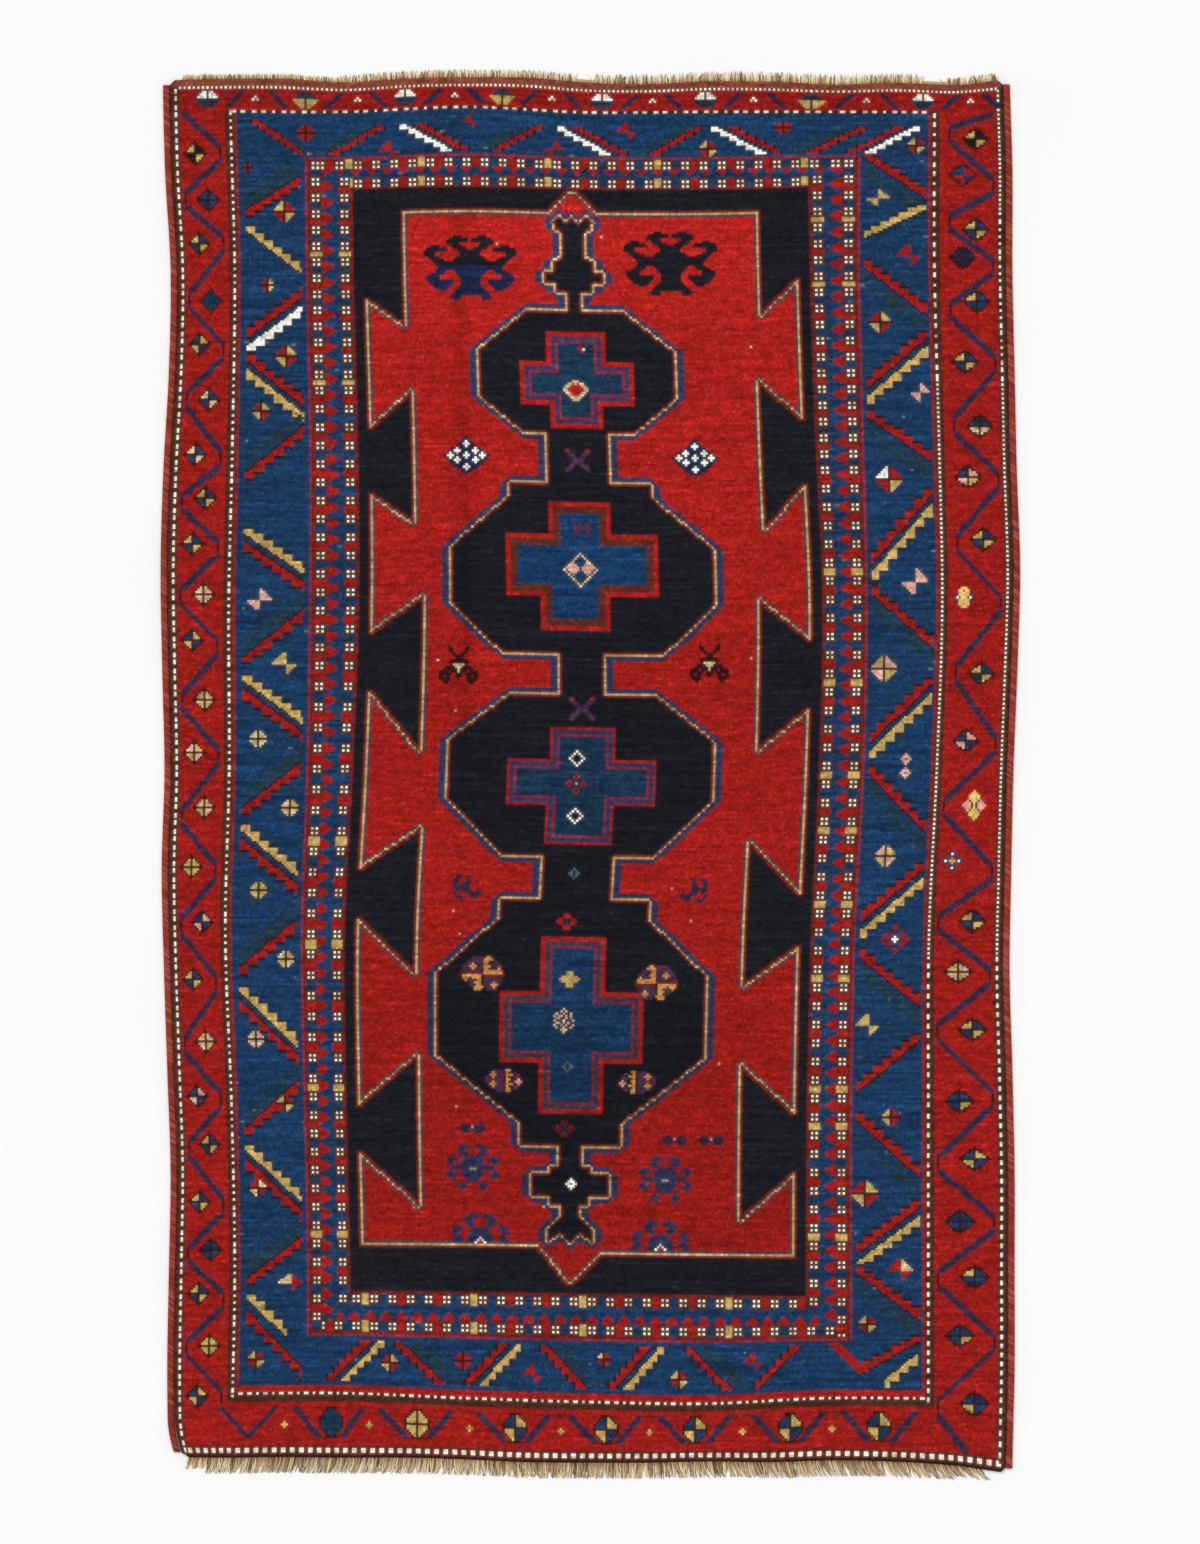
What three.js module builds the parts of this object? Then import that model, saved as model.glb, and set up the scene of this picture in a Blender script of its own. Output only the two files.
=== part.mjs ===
// A hand-knotted wool rug lying flat on a floor: the knotted body, the two overcast side cords
// and the fringe of cut warp ends along each short edge.
// Millimetres, +Z up. X runs across the rug, +Y towards the end with the short fringe.
import * as THREE from "three";

// Driving dimensions
const HALF_WIDTH = 765; // middle of the rug to the outside of a side cord
const HALF_LENGTH = 1240; // middle of the rug to the end of the pile
const PILE_THICKNESS = 7;
const PILE_EDGE_ROUND = 2.4;
const CORNER_CUT = 9;
const CORD_WIDTH = 13;
const CORD_THICKNESS = 6;
const CORD_EDGE_ROUND = 2.4;
const GAP = 0.3;
const WEB_THICKNESS = 2.6; // flat-woven end band that the warp ends leave
const TIP_THICKNESS_SHARE = 0.5; // a strand thins to this share of the band at its tip

// How far each long edge bows out from HALF_WIDTH, at stations along the rug
const SIDE_WANDER = [
  { at: -1260, left: -5, right: -4 },
  { at: -1080, left: -3, right: 0 },
  { at: -900, left: -6, right: 0 },
  { at: -720, left: -9, right: 0 },
  { at: -540, left: -3, right: -4 },
  { at: -360, left: 3, right: -9 },
  { at: -180, left: 7, right: -6 },
  { at: 0, left: 2, right: -2 },
  { at: 180, left: 6, right: 5 },
  { at: 360, left: 9, right: 10 },
  { at: 540, left: 4, right: 4 },
  { at: 720, left: -6, right: 0 },
  { at: 900, left: -9, right: -4 },
  { at: 1080, left: 1, right: -4 },
  { at: 1260, left: 5, right: -9 },
];

// The lower left corner has worn round: the long edge bows in by DEPTH over the last HEIGHT of the rug
const CORNER_BOW_DEPTH = 14;
const CORNER_BOW_HEIGHT = 75;

// How far each short edge bows out from HALF_LENGTH, at stations across the rug
const END_WANDER = [
  { at: -770, top: 2, bottom: -3 },
  { at: -660, top: 4, bottom: -2 },
  { at: -550, top: 4, bottom: -3 },
  { at: -440, top: -2, bottom: -2 },
  { at: -330, top: 5, bottom: -2 },
  { at: -220, top: 7, bottom: 1 },
  { at: -110, top: 6, bottom: 6 },
  { at: 0, top: -3, bottom: 7 },
  { at: 110, top: -5, bottom: 7 },
  { at: 220, top: 0, bottom: 5 },
  { at: 330, top: -1, bottom: 6 },
  { at: 440, top: -6, bottom: 3 },
  { at: 550, top: -3, bottom: 5 },
  { at: 660, top: -7, bottom: 12 },
  { at: 770, top: 4, bottom: 27 },
];

// Fringe of each end. A row of spans gives the stretch across the rug and the strands' length there.
const TOP_FRINGE = {
  outward: 1,
  bandDepth: 6,
  pitch: 12,
  rootWidth: 6,
  tipWidth: 3,
  steps: 1,
  lean: 1.5,
  spans: [
    { from: -735, to: -450, length: 4 },
    { from: -450, to: -25, length: 8 },
    { from: 5, to: 600, length: 11 },
    { from: 640, to: 735, length: 9 },
  ],
};
const BOTTOM_FRINGE = {
  outward: -1,
  bandDepth: 5,
  pitch: 8.8,
  rootWidth: 4.8,
  tipWidth: 2.4,
  steps: 3,
  lean: 6,
  spans: [
    { from: -722, to: -690, length: 16 },
    { from: -690, to: 640, length: 25 },
    { from: 640, to: 706, length: 17 },
  ],
};
const STRAND_LENGTH_SPREAD = 0.22; // share of a strand's length that varies from one to the next
const LEAN_WAVE = 310; // distance over which the strands' lean swings once
const LEAN_SPREAD = 1.1;
const STATION = 50; // distance between the points of an edge
const USES = 2; // each strand draws one number for its length and one for its lean

// A number from 0 to 1 that differs for each strand and each use, the same on every run
function vary(index, use) {
  return THREE.MathUtils.seededRandom(index * USES + use);
}

// A smooth curve through one column of a table of evenly spaced stations
function wander(rows, column, at) {
  const spacing = rows[1].at - rows[0].at;
  const last = rows.length - 1;
  const place = THREE.MathUtils.clamp((at - rows[0].at) / spacing, 0, last);
  const first = Math.min(Math.floor(place), last - 1);
  const value = (i) => rows[THREE.MathUtils.clamp(i, 0, last)][column];
  const [before, from, to, after] = [first - 1, first, first + 1, first + 2].map(value);
  const t = place - first;
  const slopeFrom = (to - before) / 2;
  const slopeTo = (after - from) / 2;
  const bend = 2 * (from - to) + slopeFrom + slopeTo;
  return from + t * (slopeFrom + t * (3 * (to - from) - 2 * slopeFrom - slopeTo + t * bend));
}

// How far the worn corner takes the left edge in
function cornerBow(y) {
  const share = THREE.MathUtils.clamp((y + HALF_LENGTH) / CORNER_BOW_HEIGHT, 0, 1);
  return CORNER_BOW_DEPTH * (1 - share) ** 2;
}

// The four edges, measured from the middle of the rug. Inset moves a long edge in towards the middle.
const leftEdge = (y, inset = 0) =>
  -(HALF_WIDTH + wander(SIDE_WANDER, "left", y) - cornerBow(y) - inset);
const rightEdge = (y, inset = 0) => HALF_WIDTH + wander(SIDE_WANDER, "right", y) - inset;
const topEdge = (x) => HALF_LENGTH + wander(END_WANDER, "top", x);
const bottomEdge = (x) => -(HALF_LENGTH + wander(END_WANDER, "bottom", x));

// Evenly spaced numbers from one end to the other
function spaced(from, to, steps) {
  return Array.from({ length: steps + 1 }, (_, i) => from + ((to - from) * i) / steps);
}

// The ends of a stretch and the fixed stations between them, so that neighbours bend at the same places
function stations(from, to) {
  const inner = [];
  for (let at = Math.floor(from / STATION + 1) * STATION; at < to; at += STATION) inner.push(at);
  return [from, ...inner, to];
}

// A flat solid with rounded rims: outline points, then the thickness above the floor
function roundedSlab(points, thickness, round) {
  const geometry = new THREE.ExtrudeGeometry(new THREE.Shape(points), {
    depth: thickness - 2 * round,
    bevelEnabled: true,
    bevelThickness: round,
    bevelSize: round,
    bevelOffset: -round,
    bevelSegments: 2,
    steps: 1,
  });
  return geometry.translate(0, 0, round);
}

// The knotted body inside the side cords, run anticlockwise from the lower left corner
function pileGeometry() {
  const inset = CORD_WIDTH + GAP;
  const left = (y) => leftEdge(y, inset);
  const right = (y) => rightEdge(y, inset);
  const cut = CORNER_CUT;
  const alongBottom = stations(left(-HALF_LENGTH) + cut, right(-HALF_LENGTH) - cut);
  const alongTop = stations(left(HALF_LENGTH) + cut, right(HALF_LENGTH) - cut);
  const upRight = stations(bottomEdge(alongBottom.at(-1)) + cut, topEdge(alongTop.at(-1)) - cut);
  const upLeft = stations(bottomEdge(alongBottom[0]) + cut, topEdge(alongTop[0]) - cut);
  const outline = [
    ...alongBottom.map((x) => new THREE.Vector2(x, bottomEdge(x))),
    ...upRight.map((y) => new THREE.Vector2(right(y), y)),
    ...alongTop.map((x) => new THREE.Vector2(x, topEdge(x))).reverse(),
    ...upLeft.map((y) => new THREE.Vector2(left(y), y)).reverse(),
  ];
  return roundedSlab(outline, PILE_THICKNESS, PILE_EDGE_ROUND);
}

// One side cord: the outermost warps wrapped with wool, along the whole long edge
function cordGeometry(edge, side) {
  const low = bottomEdge(side * HALF_WIDTH) + CORNER_CUT;
  const high = topEdge(side * HALF_WIDTH) - CORNER_CUT;
  const along = stations(low, high);
  const outside = along.map((y) => new THREE.Vector2(edge(y), y));
  const inside = along.map((y) => new THREE.Vector2(edge(y, CORD_WIDTH), y)).reverse();
  const outline = [...outside, ...inside];
  if (side < 0) outline.reverse();
  return roundedSlab(outline, CORD_THICKNESS, CORD_EDGE_ROUND);
}

// The roots of one end's strands, left to right, each with its own length and lean
function strandsOf(fringe) {
  const strands = [];
  for (const span of fringe.spans) {
    const count = Math.floor((span.to - span.from) / fringe.pitch);
    for (let i = 0; i < count; i += 1) {
      const root = span.from + (i + 0.5) * fringe.pitch;
      const index = strands.length;
      const swing = Math.sin((2 * Math.PI * root) / LEAN_WAVE);
      strands.push({
        root,
        length: span.length * (1 + STRAND_LENGTH_SPREAD * (2 * vary(index, 0) - 1)),
        lean: fringe.lean * swing + LEAN_SPREAD * (2 * vary(index, 1) - 1),
      });
    }
  }
  return strands;
}

// One end's fringe: a flat-woven band 0.3 mm clear of the pile, with the warp ends lying out from it.
// It is one comb-shaped outline raised from the floor, and each strand thins towards its tip.
function fringeGeometry(fringe, edge) {
  const { outward } = fringe;
  const strands = strandsOf(fringe);
  const bandFrom = fringe.spans[0].from;
  const bandTo = fringe.spans.at(-1).to;
  const inner = (x) => edge(x) + outward * GAP;
  const outer = (x) => edge(x) + outward * (GAP + fringe.bandDepth);

  const comb = [];
  for (const strand of strands) {
    const side = (way) =>
      spaced(0, 1, fringe.steps).map((t) => {
        const width = THREE.MathUtils.lerp(fringe.rootWidth, fringe.tipWidth, t);
        const x = strand.root + strand.lean * t * t + (way * width) / 2;
        const base = outer(strand.root + (way * fringe.rootWidth) / 2);
        return new THREE.Vector2(x, base + outward * strand.length * t);
      });
    comb.push(...side(-1), ...side(1).reverse());
  }
  const band = stations(bandFrom, bandTo).reverse();
  const outline = [
    new THREE.Vector2(bandFrom, outer(bandFrom)),
    ...comb,
    new THREE.Vector2(bandTo, outer(bandTo)),
    ...band.map((x) => new THREE.Vector2(x, inner(x))),
  ];
  if (outward > 0) outline.reverse();

  const geometry = new THREE.ExtrudeGeometry(new THREE.Shape(outline), {
    depth: WEB_THICKNESS,
    bevelEnabled: false,
    steps: 1,
  });
  const longest = Math.max(...strands.map((strand) => strand.length));
  const place = geometry.getAttribute("position");
  for (let i = 0; i < place.count; i += 1) {
    if (place.getZ(i) < WEB_THICKNESS / 2) continue;
    const beyond = Math.max(0, outward * (place.getY(i) - outer(place.getX(i))));
    const share = Math.min(1, beyond / longest);
    place.setZ(i, WEB_THICKNESS * THREE.MathUtils.lerp(1, TIP_THICKNESS_SHARE, share));
  }
  return geometry;
}

// Wool and cotton, matt
function yarn(colour) {
  return new THREE.MeshStandardMaterial({ color: colour, roughness: 0.95, metalness: 0 });
}

function piece(name, geometry, material) {
  const mesh = new THREE.Mesh(geometry, material);
  mesh.name = name;
  return mesh;
}

const redWool = yarn("#a8201c");
const brownWool = yarn("#6e2a20");
const undyedWarp = yarn("#c2ab84");

const laid = new THREE.Group();
laid.add(
  piece("pile", pileGeometry(), redWool),
  piece("side_cord_left", cordGeometry(leftEdge, -1), brownWool),
  piece("side_cord_right", cordGeometry(rightEdge, 1), brownWool),
  piece("fringe_top", fringeGeometry(TOP_FRINGE, topEdge), undyedWarp),
  piece("fringe_bottom", fringeGeometry(BOTTOM_FRINGE, bottomEdge), undyedWarp),
);

// The origin is under the middle of the rug's box, on the floor
const middle = new THREE.Box3().setFromObject(laid).getCenter(new THREE.Vector3());
laid.position.set(-middle.x, -middle.y, 0);

const rug = new THREE.Group();
rug.add(laid);

export default rug;
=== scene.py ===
"""A hand-knotted wool rug laid flat on a pale floor and seen from straight above.

The pile is worked out on a chart of knots. Bands, bars and figures go on it one after the other, and
the drift of the loom then moves the knots, so that straight lines wander as they do on the rug.
Places on the chart are in knots, rows counted from the top end and columns from the left edge. Lengths
are in millimetres from the middle of the loom, and MM turns them into metres where a mesh is made.
"""
import math

import bpy
import numpy as np
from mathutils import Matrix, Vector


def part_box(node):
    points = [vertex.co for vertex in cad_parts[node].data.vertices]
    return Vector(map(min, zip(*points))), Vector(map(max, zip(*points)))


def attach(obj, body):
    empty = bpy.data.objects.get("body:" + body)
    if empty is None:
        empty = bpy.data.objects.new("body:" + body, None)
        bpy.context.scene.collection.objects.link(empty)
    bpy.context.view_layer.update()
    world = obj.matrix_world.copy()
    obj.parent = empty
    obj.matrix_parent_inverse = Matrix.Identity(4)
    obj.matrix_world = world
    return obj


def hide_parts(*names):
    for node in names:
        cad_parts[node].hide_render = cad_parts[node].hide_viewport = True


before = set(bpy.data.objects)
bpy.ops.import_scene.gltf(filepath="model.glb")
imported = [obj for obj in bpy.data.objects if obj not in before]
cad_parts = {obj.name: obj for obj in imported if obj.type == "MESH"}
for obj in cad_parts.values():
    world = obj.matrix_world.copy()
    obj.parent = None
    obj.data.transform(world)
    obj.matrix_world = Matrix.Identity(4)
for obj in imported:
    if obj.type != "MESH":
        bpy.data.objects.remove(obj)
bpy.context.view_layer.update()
RNG = np.random.default_rng(11)
MM = 0.001

# Sizes of the solids that the pieces stand for
HALF_WIDTH = 765.0  # middle of the loom to the outside of a side cord
HALF_LENGTH = 1240.0  # middle of the loom to the end of the pile
CORNER_CUT = 9.0
CORNER_BOW_DEPTH = 14.0  # the worn lower left corner
CORNER_BOW_HEIGHT = 75.0
PILE_TOP = 7.0
PILE_RIM = 2.4
CORD_WIDTH = 13.0
CORD_TOP = 6.0
GAP = 0.3
WEB_TOP = 2.6

# How far each edge bows out, at stations from the bottom end up and from the left side across
SIDE_STATIONS = range(-1260, 1261, 180)
LEFT_BOW = (-5, -3, -6, -9, -3, 3, 7, 2, 6, 9, 4, -6, -9, 1, 5)
RIGHT_BOW = (-4, 0, 0, 0, -4, -9, -6, -2, 5, 10, 4, 0, -4, -4, -9)
END_STATIONS = range(-770, 771, 110)
TOP_BOW = (2, 4, 4, -2, 5, 7, 6, -3, -5, 0, -1, -6, -3, -7, 4)
BOTTOM_BOW = (-3, -2, -3, -2, -2, 1, 6, 7, 7, 5, 6, 3, 5, 12, 27)


def wander(stations, values, at):
    """A smooth curve through values at evenly spaced stations, held level past the last ones."""
    values = np.asarray(values, float)
    last = len(values) - 1
    place = (np.asarray(at, float) - stations[0]) / (stations[1] - stations[0])
    place = np.clip(place, 0, last)
    first = np.minimum(place.astype(int), last - 1)
    before, start, end, after = (values[np.clip(first + i, 0, last)] for i in (-1, 0, 1, 2))
    t = place - first
    slope_start = (end - before) / 2
    slope_end = (after - start) / 2
    bend = 2 * (start - end) + slope_start + slope_end
    return start + t * (slope_start + t * (3 * (end - start) - 2 * slope_start - slope_end + t * bend))


def left_edge(y):
    share = np.clip((y + HALF_LENGTH) / CORNER_BOW_HEIGHT, 0, 1)
    return -(HALF_WIDTH + wander(SIDE_STATIONS, LEFT_BOW, y) - CORNER_BOW_DEPTH * (1 - share) ** 2)


def right_edge(y):
    return HALF_WIDTH + wander(SIDE_STATIONS, RIGHT_BOW, y)


def top_edge(x):
    return HALF_LENGTH + wander(END_STATIONS, TOP_BOW, x)


def bottom_edge(x):
    return -(HALF_LENGTH + wander(END_STATIONS, BOTTOM_BOW, x))


# The loom's middle is not the middle of the rug's box, which is the origin of the frame
cord_low, cord_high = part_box("side_cord_left")
SAMPLES = 400  # places along the left edge where its furthest point is looked for
SHIFT_X = cord_low.x / MM - left_edge(np.linspace(-HALF_LENGTH, HALF_LENGTH, SAMPLES)).min()
SHIFT_Y = cord_high.y / MM - (top_edge(-HALF_WIDTH) - CORNER_CUT)

# Yarns by letter, in the photograph's colours
YARNS = {
    "r": (166, 29, 23),  # madder red
    "d": (112, 30, 24),  # rust
    "f": (138, 68, 50),  # faded brick
    "n": (24, 25, 32),  # navy ground of the frame
    "y": (24, 34, 64),  # midnight blue
    "b": (24, 56, 91),  # border blue
    "e": (22, 58, 97),  # strong blue
    "t": (25, 53, 77),  # teal blue
    "s": (63, 59, 74),  # grey blue
    "p": (76, 46, 76),  # purple
    "v": (60, 54, 88),  # faded violet
    "x": (49, 42, 68),  # indigo
    "z": (48, 54, 88),  # slate blue
    "q": (138, 40, 58),  # crimson
    "w": (252, 246, 232),  # ivory
    "W": (250, 230, 206),  # ivory of the small dots
    "c": (202, 174, 132),  # cream
    "C": (182, 147, 102),  # cream of the outlines
    "l": (120, 90, 68),  # worn cream
    "i": (84, 106, 122),  # blue worn pale
    "g": (192, 160, 92),  # gold
    "G": (236, 196, 112),  # bright gold
    "k": (216, 164, 146),  # pink
    "o": (212, 146, 76),  # orange
    "m": (50, 20, 18),  # maroon
    "h": (94, 42, 30),  # chestnut
    "u": (74, 39, 28),  # dark brown
    "a": (34, 56, 60),  # moss
}

# Bands from the outside in: ground yarn, and knots at each side
SIDES = ("left", "right", "top", "bottom")
BANDS = {
    "edge": ("u", 1, 1, 3, 2),
    "outer_dots": ("u", 2, 2, 1, 2),
    "outer_line": ("u", 1, 1, 0, 1),
    "outer": ("r", 20, 26, 9, 18),
    "guard_line": ("u", 1, 1, 0, 2),
    "guard_dots": ("u", 2, 2, 1, 2),
    "guard_red": ("r", 2, 2, 0, 3),
    "main": ("b", 30, 30, 19, 22),
    "purple": ("d", 2, 2, 1, 2),
    "pairs_outer": ("u", 5, 5, 4, 5),
    "saw": ("b", 7, 7, 4, 7),
    "pairs_inner": ("u", 5, 5, 4, 5),
    "inner_line": ("d", 1, 1, 1, 1),
}
FIELD_ROWS = 480
FIELD_COLS = 200
WIDTH = {side: {band: row[i] for band, row in BANDS.items()} for i, side in enumerate(SIDES, 1)}
START = {side: dict(zip(BANDS, np.cumsum([0, *WIDTH[side].values()]).tolist())) for side in SIDES}
FRAME = {side: sum(WIDTH[side].values()) for side in SIDES}
ROWS = FRAME["top"] + FIELD_ROWS + FRAME["bottom"]
COLS = FRAME["left"] + FIELD_COLS + FRAME["right"]
AXIS_OFFSET = 97  # from the frame to the medallions' middle
AXIS = FRAME["left"] + AXIS_OFFSET

ROW, COL = np.mgrid[:ROWS, :COLS]
DEPTH = {"left": COL, "right": COLS - 1 - COL, "top": ROW, "bottom": ROWS - 1 - ROW}
chart = np.full((ROWS, COLS), "n")
# The same chart seen from each side: depth in from the edge, then place along it
FROM_SIDE = {"left": chart.T, "right": chart.T[::-1], "top": chart, "bottom": chart[::-1]}


def spot(side, along, depth):
    """Row and column of a place that is given along one side and in from it."""
    return {"left": (along, depth), "right": (along, COLS - depth), "bottom": (ROWS - depth, along)}[side]


def area_within(points):
    """The knots whose middles lie inside an outline of (column, row) points."""
    x = COL + 0.5
    y = ROW + 0.5
    inside = np.zeros(x.shape, bool)
    for (x0, y0), (x1, y1) in zip(points, points[1:] + points[:1]):
        if y0 == y1:
            continue
        crosses = (y0 > y) != (y1 > y)
        inside ^= crosses & (x < x0 + (y - y0) * (x1 - x0) / (y1 - y0))
    return inside


def beside(area, axis):
    """The knots next to those of an area, above and below on axis 0 and to the sides on axis 1."""
    found = np.zeros_like(area)
    to = np.moveaxis(found, axis, 0)
    source = np.moveaxis(area, axis, 0)
    to[1:] |= source[:-1]
    to[:-1] |= source[1:]
    return found


def grown(area, knots=1, corners=False):
    """The area and what lies within so many knots of it, with or without diagonal neighbours."""
    for _ in range(knots):
        upright = area | beside(area, 0)
        area = upright | beside(upright if corners else area, 1)
    return area


def shrunk(area, knots=1, corners=False):
    return ~grown(~area, knots, corners)


# Lines of white dots: the knot where each run starts, and the knots from dot to dot in it
DOT_RUNS = {
    "outer_dots": {
        "left": ((0, 3.5),),
        "right": ((0, 2), (60, 3.2), (130, 2), (380, 4)),
        "top": ((0, 2),),
        "bottom": ((0, 4),),
    },
    "guard_dots": {
        "left": ((0, 3.2),),
        "right": ((0, 4.4), (130, 2), (380, 4.3)),
        "top": ((0, 4.4),),
        "bottom": ((0, 3.6),),
    },
}
DOT_SHARE = 0.45  # share of the way to the next dot that is white
TALL_DOTS = ("outer_dots", "bottom")  # these fill the width of their band

SAW_PITCH = 7
SAW_STEEPNESS = 1.2  # over 1 leaves some blue between the feet of the teeth
SAW_DEPTH = {"left": 0.7, "right": 0.7, "top": 0.7, "bottom": 0.5}  # share of the band's width

# Stripes of paired dots: the knot where each run starts, and the knots from cluster to cluster in it
PAIR_RUNS = {
    "left": ((0, 7), (133, 8), (253, 9), (433, 8)),
    "right": ((0, 7), (168, 8)),
    "top": ((0, 8),),
    "bottom": ((0, 8),),
}
PAIR_PLACES = (0, 2)  # knots of a cluster that are ivory, counted along
SQUARE_START = 4
# The knots along each side that have a gold square
GOLD_SQUARES = {
    "left": (75, 127, 328, 371, 438, 501),
    "right": (59, 90, 214, 257, 299, 326, 353, 385, 439, 455, 500),
    "top": (75, 110, 167, 214, 274),
    "bottom": (86, 132, 180, 246),
}


def paint_bands():
    """All the bands. A knot near a corner goes with the side whose band there lies further out."""
    rings = [np.searchsorted(np.cumsum(list(WIDTH[s].values())), DEPTH[s], side="right") for s in SIDES]
    owner = np.argmin(rings, axis=0)
    ring = np.min(rings, axis=0)
    for number, side in enumerate(SIDES):
        along = COL if side in ("top", "bottom") else ROW
        for index, band in enumerate(BANDS):
            area = (ring == index) & (owner == number)
            inward = DEPTH[side] - START[side][band]
            paint_band(side, band, area, along, inward)


def paint_band(side, band, area, along, inward):
    """One band along one side. Along counts the knots of its length, inward those of its width."""
    width = WIDTH[side][band]
    outermost = area & (inward == 0)
    chart[area] = BANDS[band][0]
    if band == "edge" and side == "top":
        chart[area] = "f"
    elif band == "edge" and side == "bottom":
        chart[outermost] = "m"
    elif band.endswith("dots"):
        starts, periods = zip(*DOT_RUNS[band][side])
        period = np.array(periods)[np.searchsorted(starts, along, side="right") - 1]
        tall = (band, side) == TALL_DOTS
        if tall:
            chart[area] = "d"
        dot = along % period < DOT_SHARE * period
        chart[area & dot & (tall | (inward == width - 1))] = "W"
    elif band == "guard_red" and side != "bottom":
        chart[outermost] = "u"
    elif band == "purple":
        chart[outermost] = "q"
    elif band.startswith("pairs"):
        paint_pairs(side, area, along, inward, width)
    elif band == "saw":
        tooth = 1 - SAW_STEEPNESS * np.abs((along + 0.5) % SAW_PITCH * 2 / SAW_PITCH - 1)
        chart[area & (inward < SAW_DEPTH[side] * width * tooth)] = "r"


def paint_pairs(side, area, along, inward, width):
    """Clusters of four ivory knots between small squares of red, blue and now and then gold."""
    starts, pitches = (np.array(column) for column in zip(*PAIR_RUNS[side]))
    run = np.searchsorted(starts, along, side="right") - 1
    pitch = pitches[run]
    turn, place = np.divmod(along - starts[run], pitch)
    first = along - place
    from_middle = np.abs(inward - width // 2)
    square = area & (place >= SQUARE_START) & (place < pitch - 1)
    chart[square] = "r"
    chart[square & (turn % 2 == 1)] = "b"
    for gold in GOLD_SQUARES[side]:
        chart[square & (first <= gold) & (gold < first + pitch)] = "g"
    chart[area & np.isin(place, PAIR_PLACES) & (from_middle == 1)] = "W"


# Slanting bars of the main border: where each meets the band's outer and inner side, counted along the
# band, and its yarns in order, a full stop for none. The second lies further along. Moss goes with a lone
# bar. Some have their own first and last knot in from the band's edge.
MAIN_BARS = {
    "left": (
        (57.5, 43, "ar"), (63, 82, "g"), (110, 92, "rw"), (119.5, 139.5, "rg"),
        (172.5, 151.5, "ar"), (195, 213, "gr"), (253, 231.5, "ar"), (259, 278.5, "gr"),
        (319, 298, "ar"), (324.5, 345, "gr"), (388.5, 367, "ar"), (395, 419.5, "gr"),
        (458.5, 437, "ar"), (464, 487, "gr"), (524, 505, "ar"), (529, 546, "g", 3, 21), (530.5, 556, ".r"),
    ),
    "right": (
        (50.5, 32.5, "ra"), (55, 67.5, "g"), (101, 80, "ra"), (110, 132.5, "rg"), (164, 145, "ra"),
        (178, 208.5, "rg"), (245, 221.5, "ra"), (260, 286, "rg"), (325, 299, "ra"), (340, 363.5, "rg"),
        (400, 378.5, "ra"), (414, 437, "r"), (474, 449, "ra"), (486.5, 507, "rg"), (536, 515, "ra"),
        (545, 561, "r"), (547, 559, ".g", 2, 16),
    ),
    "top": (
        (36.5, 58.5, "r", 3, 18), (92.5, 69.5, "ar"), (100.5, 122.5, "wr"), (162.5, 141.5, "ar"),
        (170, 192.5, "wr"), (232, 211, "ar"), (237.5, 260, "wr"), (301, 279, "ar"), (317.5, 294.5, "rw"),
    ),
    "bottom": (
        (69, 86.5, "rg"), (119.5, 99, "ra"), (130, 147, "rg"), (181.5, 163.5, "ra"),
        (193.5, 209.5, "rg"), (245.5, 227, "ra"), (257, 275.5, "r"),
    ),
}
# First and last knot of the other bars in from the band's edge
BAR_REACH = {"left": (3, 28), "right": (1, 28), "top": (6, 18), "bottom": (2, 20)}
BAR_STEP = {"left": 4, "right": 4, "top": 2, "bottom": 3}  # width of a stair
BAR_SHIFT = 7  # from a bar to the second one
BAR_EDGE = 1.6  # from a bar's middle to its straight edge
BAR_THICKNESS = 2.0
MOSS_THICKNESS = 7
MOSS_SHARE = 0.55  # share of knots that are moss, the rest border blue
# The last bar at the lower right turns up again: along and in from the band's edge, where it starts and ends
TURNED_BAR = (303, 8, 291, 20)
TURNED_THICKNESS = 3.5
WORN_SHARE = 0.0012  # of the blue knots, worn pale
WORN_ON = 0.6  # chance that the next knot is worn too

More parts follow.
